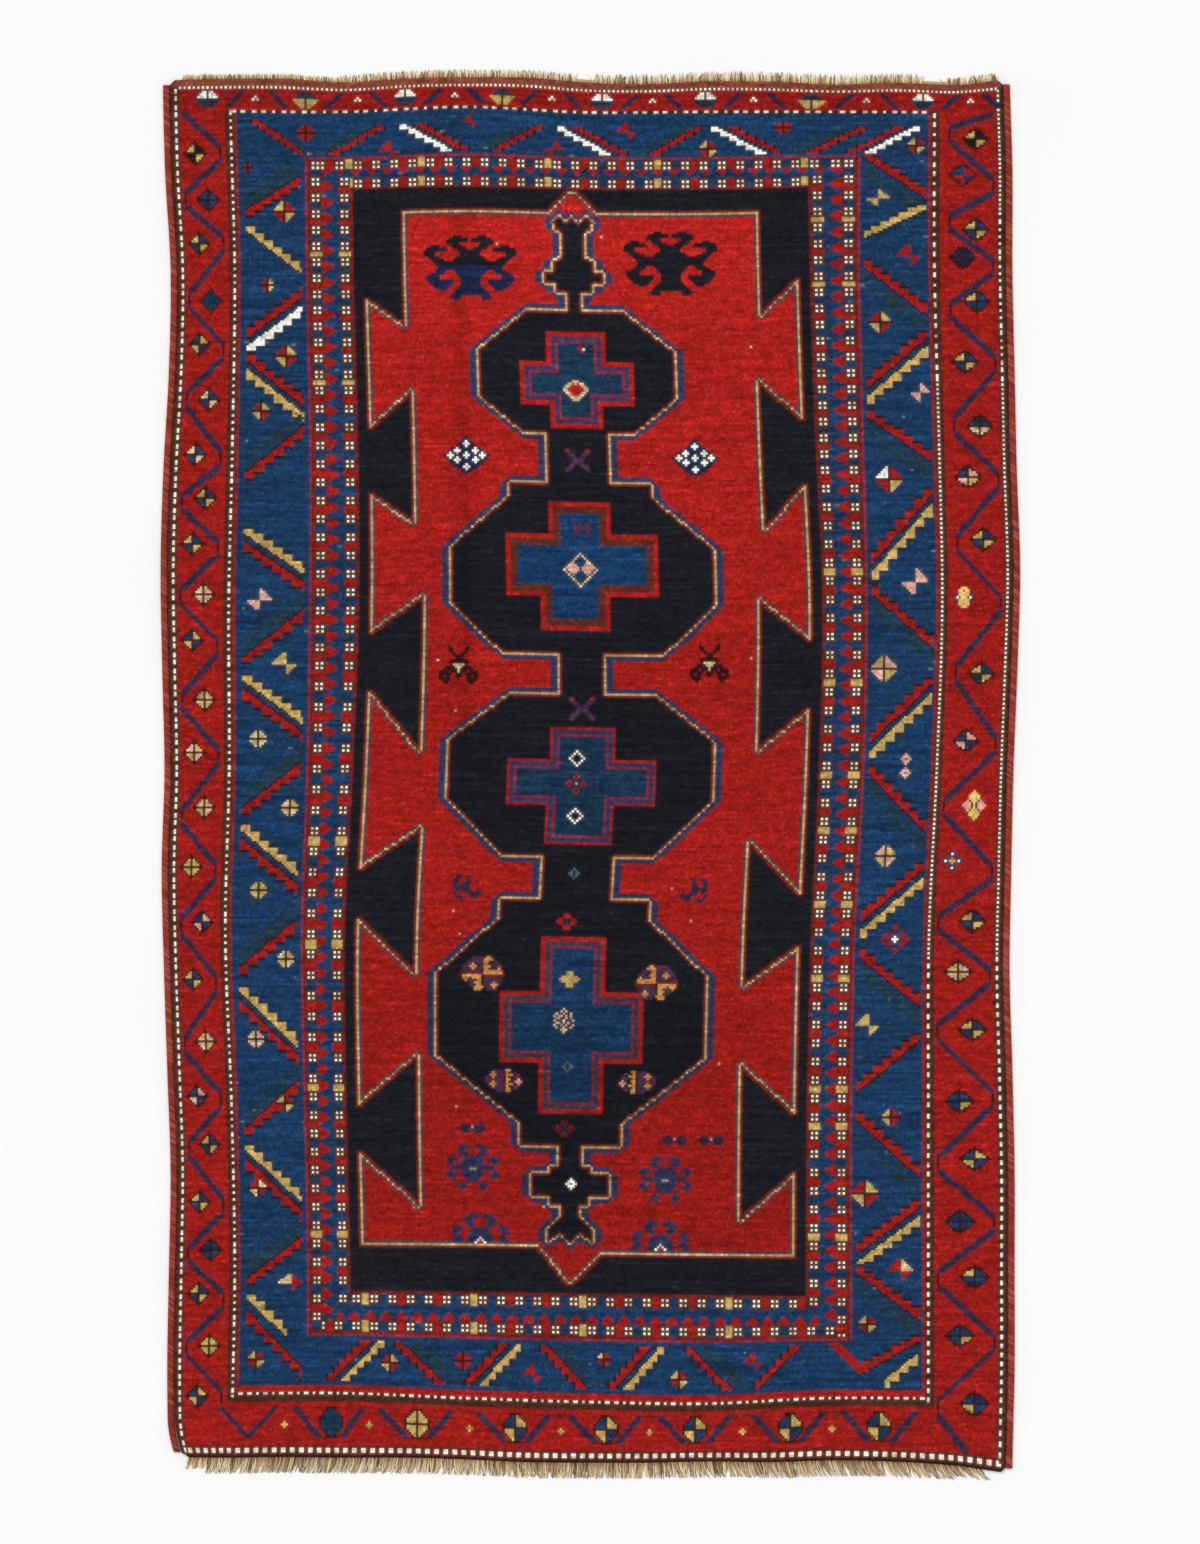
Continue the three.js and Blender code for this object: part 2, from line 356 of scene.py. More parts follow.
# Small figures between those bars: row, column, half height, half width, and the yarns of their quarters,
# upper left, upper right, lower left and lower right, a full stop for none
MAIN_FILLS = (
    (37, 33, 2, 2, "rrrr"), (56, 49, 4, 5, "grrg"), (88, 41, 3, 3, "rgrg"), (119, 49, 4, 5, "rggr"),
    (143, 38, 4, 4, "rggr"), (225, 38, 4, 5, ".kk."), (253, 49, 4, 5, "g..g"), (286, 38, 3, 4, "cccc"),
    (316, 52, 3, 4, "cggc"), (352, 40, 3, 4, "gggg"), (382, 52, 3, 4, "cggc"), (417, 38, 3, 4, "ckkc"),
    (445, 50, 3, 4, "grrg"), (482, 37, 3, 4, "rccr"), (523, 51, 3, 5, "cr.r"), (557, 36, 4, 4, "grrg"),
    (28, 323, 3, 4, "grrg"), (51, 306, 3, 5, ".gg."), (76, 320, 4, 5, "r..r"), (105, 307, 4, 5, "rggr"),
    (135, 323, 4, 4, ".kk."), (173, 309, 5, 5, "wrrg"), (217, 319, 5, 5, ".kk."), (255, 306, 5, 5, "gkkg"),
    (336, 310, 4, 5, "kggk"), (409, 305, 4, 5, "g..g"), (449, 315, 3, 4, "grgr"), (482, 304, 5, 5, "rggr"),
    (515, 319, 4, 5, "rc.r"), (539, 305, 3, 4, "grrg"),
    (22, 59, 3, 4, "rrrr"), (30, 95, 3, 4, "r..r"), (19, 131, 3, 3, "r..r"), (29, 167, 3, 4, ".rr."),
    (21, 200, 3, 4, "r..r"), (29, 235, 3, 4, "grrg"), (20, 268, 2, 4, "rrrr"),
    (558, 96, 4, 4, "rggr"), (556, 128, 4, 4, "rrrr"), (561, 159, 4, 4, "r..r"), (554, 190, 3, 3, "crrr"),
    (562, 223, 4, 4, "grrg"), (555, 256, 3, 4, "r..r"),
)
FILL_BULGE = 1.15
TIP_ROOM = 0.3  # added to half sizes, so that a lozenge's tips are whole knots
LINE_ROOM = 1.2  # reach of the line round a lozenge


def paint_bar(side, outer, inner, reach, yarn, stairs):
    """A slanting bar with one straight edge and a staircase on the side that stairs gives."""
    first, last = reach
    tread = BAR_STEP[side]
    slope = (inner - outer) / (last - first)
    for inward in range(first, last):
        straight = outer + slope * (inward - first + 0.5) - stairs * BAR_EDGE
        step = (inward - first) // tread * tread
        ends = (outer + slope * step, outer + slope * (step + tread))
        far = max(ends) if stairs > 0 else min(ends)
        far += stairs * (BAR_THICKNESS - BAR_EDGE)
        low, high = sorted((round(straight), round(far)))
        run = FROM_SIDE[side][START[side]["main"] + inward]
        run[low - 1:high + 1] = "n"
        run[low:high] = yarn


def paint_moss(side, outer, inner, reach):
    """A broad faint bar of moss green knots scattered in the blue."""
    first, last = reach
    for inward in range(first, last):
        middle = outer + (inner - outer) * (inward - first) / (last - first)
        run = FROM_SIDE[side][START[side]["main"] + inward]
        low = max(round(middle - MOSS_THICKNESS / 2), 0)
        stretch = run[low:low + MOSS_THICKNESS]
        stretch[RNG.random(len(stretch)) < MOSS_SHARE] = "a"


def paint_lozenge(row, col, half_rows, half_cols, quarters, bulge, line=None):
    """A small diamond in quarters, with a dark line between them and round them where one is given.

    A bulge above one rounds the diamond towards a disc. Teal ones have no lines across.
    """
    crossed = "." not in quarters and quarters != "tttt"
    for r in range(-half_rows - 1, half_rows + 2):
        for c in range(-half_cols - 1, half_cols + 2):
            reach = abs(r) / (half_rows + TIP_ROOM) + abs(c) / (half_cols + TIP_ROOM)
            inside = reach <= bulge and abs(r) <= half_rows and abs(c) <= half_cols
            yarn = quarters[2 * (r > 0) + (c > 0)]
            if not inside:
                yarn = line if line and reach <= bulge + LINE_ROOM / half_rows else "."
            elif crossed and 0 in (r, c):
                yarn = line or "n"
            if yarn != ".":
                chart[round(row) + r, round(col) + c] = yarn


def paint_main_border():
    worn = RNG.random(chart.shape) < WORN_SHARE
    worn[:, 1:] |= worn[:, :-1] & (RNG.random(chart[:, 1:].shape) < WORN_ON)
    chart[worn & (chart == "b")] = "i"
    for side, bars in MAIN_BARS.items():
        for outer, inner, yarns, *own_reach in bars:
            reach = own_reach or BAR_REACH[side]
            for place, yarn in enumerate(yarns):
                shift = BAR_SHIFT * (place - yarns.startswith("a"))
                if yarn == "a":
                    paint_moss(side, outer + shift, inner + shift, reach)
                elif yarn != ".":
                    paint_bar(side, outer + shift, inner + shift, reach, yarn, 1 if place else -1)
    paint_slants("bottom", "main", 0, [TURNED_BAR], TURNED_THICKNESS, "r")
    for fill in MAIN_FILLS:
        paint_lozenge(*fill, FILL_BULGE)


# The outer border's zigzag: rows where it turns, the first of them at the inner side, and across from each
# turn the row of a diamond and its quarters
ZIGZAG = {
    "left": (
        (31, 31, "gnng"), (51, 51, "bbbb"), (70, 70, "gbbg"), (95, 95, "tttt"), (117, 114, "tggt"),
        (138, 138, "cbbc"), (164, 162, "cbbc"), (183, 181, "gbbg"), (203, 201, "gbbg"), (224, 223, "ckkc"),
        (246, 243, "bggb"), (270, 269, "gccg"), (294, 292, "kggk"), (320, 316, "kggk"), (344, 342, "gggg"),
        (368, 366, "bkkb"), (393, 391, "gbbg"), (420, 418, "gkkg"), (444, 442, "bkkb"), (465, 463, "gbbg"),
        (490, 488, "gbbg"), (511, 509, "bbbb"), (531, 528, "gbbg"), (552, 551, "gggg"), (574, 573, "bggb"),
    ),
    "right": (
        (23, 25, "gnng"), (46, 41, "b..b"), (62, 65, "gbbg"), (81, 77, "yyyy"), (100, 96, "gbbb"),
        (123, 122, "gbbg"), (150, 150, "ttcc"), (173, 172, "bkkg"), (201, 199, "gbbg"), (227, 227, "...."),
        (257, 257, "gbbg"), (288, 286, "bkkb"), (315, 315, "...."), (343, 343, "...."), (365, 364, "gbbg"),
        (388, 386, "gkkg"), (412, 411, "gbbg"), (441, 442, "bbbg"), (469, 467, "bggb"), (495, 494, "bbbb"),
        (519, 518, "gbbb"), (547, 544, "bbbg"), (576, 574, "bbgb"),
    ),
}
ZIGZAG_START = 11  # row above its first line
ZIGZAG_GAP = {"left": (3, 3), "right": (5, 2)}  # left free at the inner side, in the upper and lower half
ZIGZAG_TAIL = (14, 12)  # how far along and across the right one goes on after its last turn
TURN_GAP = 3  # from a turn to the ends of the slanting lines
SLANT_THICKNESS = 2.0
DIAMOND_SIZES = {"left": (4, 4), "right": (4, 5)}
DIAMOND_PLACES = {"left": (0.3, 0.57), "right": (0.38, 0.63)}  # share of the width, at inner and outer turns
DIAMOND_BULGE = 1.05


def paint_slant(side, from_along, from_depth, to_along, to_depth, thickness=SLANT_THICKNESS, yarn="x"):
    """A line of one thickness between two places, a knot at a time across the side's width."""
    slope = (to_along - from_along) / (to_depth - from_depth)
    half = thickness / 2 * math.hypot(1, slope)
    first, last = sorted((from_depth, to_depth))
    for depth in range(round(first), round(last) + 1):
        along = from_along + (depth - from_depth) * slope
        FROM_SIDE[side][depth][round(along - half):round(along + half) + 1] = yarn


def paint_slants(side, band, origin, slants, *look):
    """Lines from place to place, counted along from an origin and in from a band's edge."""
    start = START[side][band]
    for from_along, from_depth, to_along, to_depth in slants:
        paint_slant(side, origin + from_along, start + from_depth, origin + to_along, start + to_depth, *look)


def paint_zigzag(side):
    start = START[side]["outer"]
    width = WIDTH[side]["outer"]
    near = start + 1
    row = ZIGZAG_START
    for number, (turn, diamond, quarters) in enumerate(ZIGZAG[side]):
        far = start + width - ZIGZAG_GAP[side][turn > ROWS / 2]
        outer_turn = number % 2
        from_depth, to_depth = (far, near) if outer_turn else (near, far)
        paint_slant(side, row + TURN_GAP, from_depth, turn - TURN_GAP, to_depth)
        FROM_SIDE[side][to_depth][turn - TURN_GAP + 1:turn + TURN_GAP] = "m"
        if quarters != "....":
            place = spot(side, diamond, start + width * DIAMOND_PLACES[side][outer_turn])
            paint_lozenge(*place, *DIAMOND_SIZES[side], quarters, DIAMOND_BULGE, "m")
        row = turn
    if side == "right":
        along, across = ZIGZAG_TAIL
        paint_slant(side, row + TURN_GAP, far, row + TURN_GAP + along, far - across)


# Figures of the two end borders by column, each with the yarns of its halves or quarters
TOP_DIAMONDS = (
    (16, "wt"), (59, "tg"), (102.5, "wt"), (145, "tg"), (189, "wt"), (234, "wt"), (280, "tg"), (326.5, "wt"),
)
BOTTOM_DISCS = (
    (69.5, "tttt"), (108, "gggg"), (151, "bggb"), (191, "bggb"), (230.5, "bggb"), (271.5, "bggb"),
    (310.5, "bggb"),
)
# What goes with each of them, counted along from its middle and in from the band's edge: slanting lines as
# along, in, along, in, level lines as first knot, end, in, and small figures
TOP_SLANTS = ((15, 1, 9, 7), (28, 1, 34, 7))
TOP_MIDDLE = 4
TOP_HALVES = (3, 5)  # half height and half width of a diamond
TOP_DOT = 22
BOTTOM_SLANTS = ((-16, 15, -5, 3), (5, 3, 15, 15))
BOTTOM_LEVELS = ((-4, 5, 3), (-24, -16, 15))
BOTTOM_CORNER = 33  # column of the figure in the corner, which has no disc
CORNER_SLANTS = ((-12, 15, 0, 3), (0, 3, 12, 15))
DISC_MIDDLE = 10
DISC_HALVES = (5, 4)
DISC_BULGE = 1.4
SPARK = (-20, 9)


def paint_top_border():
    middle = START["top"]["outer"] + TOP_MIDDLE
    half_rows, half_cols = TOP_HALVES
    for col, (upper, lower) in TOP_DIAMONDS:
        paint_slants("top", "outer", col, TOP_SLANTS)
        for row in range(-half_rows, half_rows + 1):
            half = half_cols - abs(row)
            chart[middle + row, round(col) - half:round(col) + half + 1] = upper if row < 0 else lower
            chart[middle + row, round(col)] = "u"
        stamp("dot", middle, col + TOP_DOT)


def paint_bottom_border():
    start = START["bottom"]["outer"]
    paint_slants("bottom", "outer", BOTTOM_CORNER, CORNER_SLANTS)
    for col, quarters in BOTTOM_DISCS:
        paint_slants("bottom", "outer", col, BOTTOM_SLANTS)
        for first, end, inward in BOTTOM_LEVELS:
            FROM_SIDE["bottom"][start + inward][round(col) + first:round(col) + end] = "d"
        paint_lozenge(*spot("bottom", col, start + DISC_MIDDLE), *DISC_HALVES, quarters, DISC_BULGE, "m")
        along, inward = SPARK
        stamp("spark", *spot("bottom", col + along, start + inward))


def mirrored(text):
    """The rows of a figure that is given from its middle column to the right, as far as it has knots."""
    rows = text.split()
    width = max(len(row) for row in rows)
    return [row[:0:-1].rjust(width - 1, ".") + row.ljust(width, ".") for row in rows]


def quartered(text):
    """The rows of a figure that is given from its middle column to the right and down to its middle row."""
    upper = mirrored(text)
    return upper + upper[-2::-1]


# Figures, with a letter for each knot and a full stop for what stays as it is
FIGURES = {
    "crab": mirrored("""
    ....nnnn
    .nnnnnnnnn
    .nnnnnnnnnn
    .....nnnnnn
    ....nnnnn.....nnnn
    ..nnnnnn...nnnnnnnnn
    nnnnnn....nnnnnnnnnnn
    nnnnn...........nnnnn
    nnnnn...........nnnnn
    nnnnnnn.......nnnnn
    nnnnnnnn....nnnnnn
    nnnnnnnnnnnnnnnnn
    nnnnnnnnnnnnnnnn
    nnnnnnnnnnnnnnn
    nnnnnnnnnnnnnnn
    nnnnnnnn...nnnnn
    nnnnnnn.....nnnnnn
    nnnnnn........nnnnnn
    nnnnn.........nnnnnn
    nnnnn...nnnnnnnnnnnn
    nnnnn...nnnnnnnnnnn
    nnnnn....nnnnnnnnn
    nnnnnn....nnnnnnn
    nnnnnnn....nnnn
    nnnnnnnn
    nnnnnnnnn
    .....nnnnn
    .....nnnn
    """),
    "crosslet": mirrored("""
    y
    yy
    wyy
    wwyy
    wyyyy
    yyyywyy
    yyywwwyy
    wyyywyywy
    wwyyyywwwyy
    wyyywyywyy
    yyywwwyyy
    yyyywyyy
    wyyyyyy
    wwyyyy
    wyyyy
    yyy
    y
    """),
    "bird": mirrored("""
    ....m
    ...mm
    ...mm
    ..mm
    mmm
    mm
    mmmm
    mmmmm
    cccm
    ccmmmm
    cmmmmmm
    cmmm.mmmm
    mm.mmmmmm
    mm..mm.mm
    m...mmmmm
    ....mmmm
    .....mm
    """),
    "star": mirrored("""
    ..zzzz
    .z.zzzz
    ....zzz
    ...zzzz
    ..zzzz
    zzzz....zzz
    zzzzz..zzzzz
    zzzzzz.z.zzz
    zzzzz....zz
    zzzzzzzzzz
    ggzzzzzzzz
    zzzzz....zz
    zzzzz..z.zzz
    zzzzz..zzzzz
    zzzz....zzz
    zzz
    ..z.zz
    ...zzzz
    ...zzzz
    ....zz
    """),
    "half_star": mirrored("""
    ..zzzz
    .zzzzzz
    ..z.zzzz
    ....zzzz
    ...zzzz
    ...zzz...zzz
    zzzz....zzzz
    zzzzz...z.zzz
    zzzzz.....zzz
    zzzzzz...zzz
    wzzzzz..zzzz
    rwzzzz...zzzz
    rrwzzz....zzz
    """),
    "dotted_diamond": mirrored("""
    c
    .c
    ..c
    ...c
    ...kc
    ..kkkc
    .kkkkkc
    .kkkkk.c
    ..kkk.c
    ...k.c
    ....c
    ...c
    ..c
    .c
    c
    """),
    "red_diamond": mirrored("""
    cc
    crcc
    rrrcc
    rrrrcc
    prrrcc
    rrrcc
    rrcc
    ccc
    cc
    """),
    "rosette": """
    .....ppppd.oo......
    ....pppppdoooo.....
    ...pppppppoop.pp...
    ..pppoppppoo.pppp..
    .pppooopppooo.pppd.
    .ppppoppppoo.pp.od.
    dpppppppp.oooooooo.
    dddddddddrooooooood
    doooooooo.ddddddddd
    .ooo.oooo.pppppppd.
    ..o.pp.oo.pppppppp.
    ...pppooo.ppppopp..
    ....pp.oo.pppooop..
    .....poooo.pppop...
    ......ooo..ppppp...
    """.split(),
    "small_rosette": """
    ....ppppdoo.....
    ..popppp.o..pp..
    .pooopppdooo.pp.
    ppdopppp.o..ppd.
    pdpdpppp.oo..dkd
    ppdopppp.o..dkkk
    .pooopppdooo.dkd
    ..popppp.o..ppd.
    ...ppppp.oo.pp..
    .....pppdoo.....
    """.split(),
    "flower": """
    ....c....
    ...c.c...
    .c..k..c.
    c.ckuk.c.
    .cku.kuc.
    c.u.w.u.c
    .ckukuc..
    c..kuk..c
    .c..c..c.
    ...ccc...
    ....c....
    """.split(),
    "hare": """
    .xx..xxx....
    xxx..xx.....
    xx...xx.....
    xx..xxx.....
    xxxxxxx.....
    xxxxxxx.....
    .xx.xxxx..x.
    x....xxxxxxx
    xx.....xxxxx
    .xxxx..xxx..
    ..xx........
    """.split(),
    "dot": mirrored("w .w"),
    "spark": quartered("g gg"),
    "mark": "rr. rrw .rr".split(),
    "saltire": mirrored("....rr ...ppp ..ppp .ppp ppp ppp .ppp ..ppp ...ppp ....pp"),
    "small_saltire": quartered("...pp .ppp ppp .ppr"),
    "red_cross": quartered("rr rr b.rr bbrrr"),
    "rust_cross": quartered("dd dd b.dd bbddd"),
    "gold_cross": quartered("gg gg gggg ogggg"),
    "eye_diamond": quartered("w nw nnw nnnw"),
    "pink_diamond": quartered("k kk qkk"),
    "small_blue": mirrored("..xxx kxxxxx xxxxxx ..xxx"),
    "red_flower": quartered("r xr r x..r c.rxr"),
    "blue_flower": quartered("i xi .ii"),
    "ivory_flower": quartered("w ww .ww"),
    "ring_flower": quartered("r rr r ...r ..rrr w..r.r ww..rrr"),
    "blue_flower_large": quartered("bb wb bb g.bbb ggbwb"),
    "gold_lozenge": quartered("G GG GGG GGG GGuk Gukkk Gukkkk"),
    "gold_star": mirrored("GG uGG GGG GGGbb GGbwb GGGbb GGG GGG GG"),
}
for name in ("hare", "rosette", "small_rosette"):
    FIGURES[f"{name}_flipped"] = [line[::-1] for line in FIGURES[name]]


def stamp(name, row, col):
    """Knots one figure with its middle at a place. A full stop leaves what is there."""
    figure = FIGURES[name]
    top = round(row - len(figure) / 2)
    left = round(col - len(figure[0]) / 2)
    for r, line in enumerate(figure):
        for c, yarn in enumerate(line):
            if yarn != ".":
                chart[top + r, left + c] = yarn


# The stepped edge of the red field. Each tooth of the frame reaches in between two notches: the rows of its
# upper notch, upper tip, lower tip and lower notch, and its reach, counted from the frame's corner.
LEFT_TEETH = (
    (104, 88, 146, 133, 24), (193, 177, 246, 218, 28), (296, 278, 343, 317, 30), (399, 377, 443, 420, 31),
)
RIGHT_TEETH = (
    (100, 83, 149, 128, 24), (196, 178, 244, 226, 27), (307, 282, 346, 329, 29), (401, 380, 448, 427, 29),
)
NOTCH = 5  # from the frame to the notches
# The rest of that edge as (column, row) points, clockwise from the upper left
GABLE_TOP = ((22, 10), (86, 10), (95, 1.5), (99, 1.5), (108, 10), (178, 10))
TOP_TEETH = {"left": ((5, 48), (22, 60)), "right": ((178, 55), (195, 40))}
GABLE_BOTTOM = ((195, 463), (111, 463), (97, 477), (83, 460), (5, 460))

# Right half of the column of medallions: (knots from the axis, row from the frame's top)
MEDALLIONS = (
    (0, 12), (3, 15), (5.8, 11.3), (8.6, 14.5), (8, 17.5), (5.4, 19), (5.4, 30), (9.3, 31), (9.3, 36),
    (13.4, 36), (13.4, 41), (8.3, 41), (8.3, 45), (2.8, 45), (2.8, 53),
    (21, 53), (43, 70.6), (43, 91), (23.6, 106.4), (13.5, 106.4), (13.5, 128),
    (31, 128), (31, 134), (57, 156), (57, 181), (34.8, 202), (9.5, 202.5), (9.5, 220),
    (31.3, 220), (57, 240), (57, 266), (32.4, 290.4), (15, 290.4), (15, 309),
    (31.6, 309), (31.6, 317), (58.3, 342), (58.3, 377), (22.4, 406), (22.4, 416),
    (4.8, 416), (4.8, 424.6), (9, 424.6), (9, 428.5), (17.3, 428.5), (17.3, 437.6), (8.5, 437.6),
    (8.5, 441.6), (4.4, 441.6), (4.4, 446.4), (10.2, 453), (10.2, 458.5), (4.3, 454), (0, 458.5),
)
SHADE_WIDTH = 4  # of the slate line along the medallions' upright sides, with the cream beside it
SHADE_REACH = 3  # of the same line elsewhere

# The cross in each medallion: rows of its top, arms and bottom, half width of its upper bar, lower bar and
# arms, how far its foot is out of line, the yarns of its rings from the outside in, and the yarn inside
CROSSES = (
    (62.3, 75, 94.4, 104.4, 13.3, 11.5, 24.8, 0, "rrvvq", "t"),
    (136.2, 150, 176.6, 192.2, 13.5, 15, 33.3, -2.5, "rrhhh", "e"),
    (234, 248, 268, 284.7, 14.3, 14.3, 31.8, -0.5, "rvvq", "t"),
    (324.7, 348.6, 380.3, 401.6, 14, 14, 31.3, 0, "rrssq", "b"),
)

# Figures on the field and in the medallions: name, row from the frame's top, knots from the axis
FIELD_FIGURES = (
    ("crab", 35, -45), ("crab", 32.4, 42), ("crosslet", 116.6, -50), ("crosslet", 116.6, 50),
    ("bird", 207, -54), ("bird", 205, 55), ("hare", 304, -46), ("hare_flipped", 304, 50.6),
    ("small_blue", 409, -42), ("small_blue", 413, 45.6), ("small_blue", 413, 61),
    ("star", 426.3, -42), ("star", 430.2, 42), ("half_star", 452.4, -39), ("half_star", 454.6, 39.6),
    ("mark", 69.7, 2.5), ("red_diamond", 87.9, -1), ("saltire", 117.9, 0), ("small_saltire", 147.9, 1),
    ("dotted_diamond", 165.7, 0), ("saltire", 226, -0.8), ("eye_diamond", 247.3, -2),
    ("red_flower", 258.6, -2.5), ("eye_diamond", 272, -3), ("blue_flower", 297.7, -1),
    ("red_cross", 318.6, -3), ("gold_cross", 343.3, -1.5), ("flower", 361.6, -3), ("blue_flower", 382, -1.5),
    ("rosette", 341.2, -38.5), ("rosette_flipped", 344.2, 36.3), ("small_rosette", 387.7, -28.7),
    ("small_rosette_flipped", 387.7, 28.7), ("rust_cross", 409, -2.3), ("ivory_flower", 432.8, 0),
)
# The lower half of the left crab is in another blue: rows from the frame's top, knots from the axis
BLUE_CRAB_ROWS = (33, 50)
BLUE_CRAB_SIDE = -20
# Flowers among the figures of the right borders: name, row, column
BORDER_FLOWERS = (
    ("ring_flower", 373, 317), ("blue_flower_large", 339, 340), ("gold_star", 224, 341.5),
    ("gold_lozenge", 314.7, 349), ("pink_diamond", 294, 317.5), ("pink_diamond", 300.5, 317.5),
)
SPECKS = 14  # knots of the field worn down to the pale foundation


def paint_rope(line):
    """A cream outline one knot thick, plain where it runs straight and like a rope where it slants."""
    chart[line] = "l"
    chart[line & (beside(line, 0) | beside(line, 1) | (ROW % 2 == 0))] = "C"


def paint_field():
    """The red field and its outline. Returns the knots inside it."""
    left, right = [], []
    for notch0, tip0, tip1, notch1, reach in LEFT_TEETH:
        left += [(NOTCH, notch0), (reach, tip0), (reach, tip1), (NOTCH, notch1)]
    for notch0, tip0, tip1, notch1, reach in RIGHT_TEETH:
        inner, outer = FIELD_COLS - reach, FIELD_COLS - NOTCH
        right += [(outer, notch0), (inner, tip0), (inner, tip1), (outer, notch1)]
    outline = [*GABLE_TOP, *TOP_TEETH["right"], *right, *GABLE_BOTTOM, *reversed(left), *TOP_TEETH["left"]]
    outline = [(FRAME["left"] + col, FRAME["top"] + row) for col, row in outline]
    field = area_within(outline)
    chart[grown(field, 1, True)] = "d"
    chart[field] = "s"
    chart[shrunk(field, 2)] = "r"
    paint_rope(field & ~shrunk(field, 1))
    return shrunk(field, 2)


def paint_medallions():
    half = [(AXIS + out, FRAME["top"] + row) for out, row in MEDALLIONS]
    other = [(AXIS - out, FRAME["top"] + row) for out, row in reversed(MEDALLIONS)]
    body = area_within(half + other)
    shade = grown(body, SHADE_REACH)
    shade[:, SHADE_WIDTH:] |= body[:, :-SHADE_WIDTH]
    shade[:, :-SHADE_WIDTH] |= body[:, SHADE_WIDTH:]
    chart[shade] = "z"
    chart[body] = "d"
    chart[shrunk(body, 1)] = "n"
    paint_rope(grown(body, 1) & ~body)
    for top, arm_top, arm_bottom, bottom, upper, lower, arm, lean, rings, inside in CROSSES:
        head = [(upper, top), (upper, arm_top), (arm, arm_top), (arm, arm_bottom)]
        foot = [(lean + lower, arm_bottom), (lean + lower, bottom)]
        foot += [(lean - lower, bottom), (lean - lower, arm_bottom)]
        outline = head + foot + [(-out, row) for out, row in reversed(head)]
        area = area_within([(AXIS + out, FRAME["top"] + row) for out, row in outline])
        for yarn in rings:
            chart[area] = yarn
            area = shrunk(area, 1, True)
        chart[area] = inside


def paint_chart():
    """The whole design. Returns the knots of the field."""
    paint_bands()
    paint_main_border()
    paint_zigzag("left")
    paint_zigzag("right")
    paint_top_border()
    paint_bottom_border()
    field = paint_field()
    paint_medallions()
    for name, row, col in FIELD_FIGURES:
        stamp(name, FRAME["top"] + row, AXIS + col)
    for name, row, col in BORDER_FLOWERS:
        stamp(name, row, col)
    above, below = BLUE_CRAB_ROWS
    crab = field & (ROW > FRAME["top"] + above) & (ROW < FRAME["top"] + below) & (COL < AXIS + BLUE_CRAB_SIDE)
    chart[crab & (chart == "n")] = "y"
    places = np.argwhere(field & (chart == "r"))
    for row, col in RNG.permutation(places)[:SPECKS]:
        chart[row, col] = "k"
    return field


def linear(srgb):
    """Linear values of a colour that is given as on a screen, from 0 to 255."""
    value = np.asarray(srgb, float) / 255
    return np.where(value <= 0.04045, value / 12.92, ((value + 0.055) / 1.055) ** 2.4)


def streaks(length):
    """Noise that holds along a row for about so many knots, as a batch of yarn does."""
    total = np.cumsum(RNG.normal(size=(ROWS, COLS + length)), axis=1)
    return (total[:, length:] - total[:, :-length]) / math.sqrt(length)


# The field's red is brightest near the top end and deeper below: rows of the chart and tones
FIELD_FADE_ROWS = (73, 113, 208, 265, 347, 439, 487)
FIELD_FADE_TONES = (1.22, 1.04, 0.98, 0.86, 0.9, 0.74, 0.76)
BORDER_RED_TONE = 0.84
TOP_END_TONE = 0.85
FOLD_LINE = {"col": 124.5, "half_width": 3.5, "last_row": 300, "depth": 0.22}  # an old fold, a little darker
# How much the tone varies from knot to knot, and in streaks of so many knots along a row
KNOT_SPREAD = 0.19
SHORT_STREAK = 4
SHORT_SPREAD = 0.12
LONG_STREAK = 24
LONG_SPREAD = 0.09
BLUES = list("nybeta")
BLUE_SPREAD = 0.17  # of their long streaks


def knot_colours(field):
    """The linear colour of every knot: its yarn, the yarn's uneven dye and its own shade."""
    colours = np.zeros((ROWS, COLS, 3))
    for letter, srgb in YARNS.items():
        colours[chart == letter] = linear(srgb)
    spread = KNOT_SPREAD * RNG.normal(size=(ROWS, COLS))
    spread += SHORT_SPREAD * streaks(SHORT_STREAK)
    spread += np.where(np.isin(chart, BLUES), BLUE_SPREAD, LONG_SPREAD) * streaks(LONG_STREAK)
    tone = np.exp(spread)
    fade = np.interp(ROW, FIELD_FADE_ROWS, FIELD_FADE_TONES)
    tone[field] *= fade[field]
    fold = np.exp(-((COL - FOLD_LINE["col"]) / FOLD_LINE["half_width"]) ** 2) * (ROW < FOLD_LINE["last_row"])
    tone[field] *= 1 - FOLD_LINE["depth"] * fold[field]
    outside = np.ones((ROWS, COLS), bool)
    outside[FRAME["top"]:-FRAME["bottom"], FRAME["left"]:-FRAME["right"]] = False
    tone[outside & (chart == "r")] *= BORDER_RED_TONE
    tone[:START["top"]["main"]] *= TOP_END_TONE
    return np.clip(colours * tone[..., None], 0, 1)


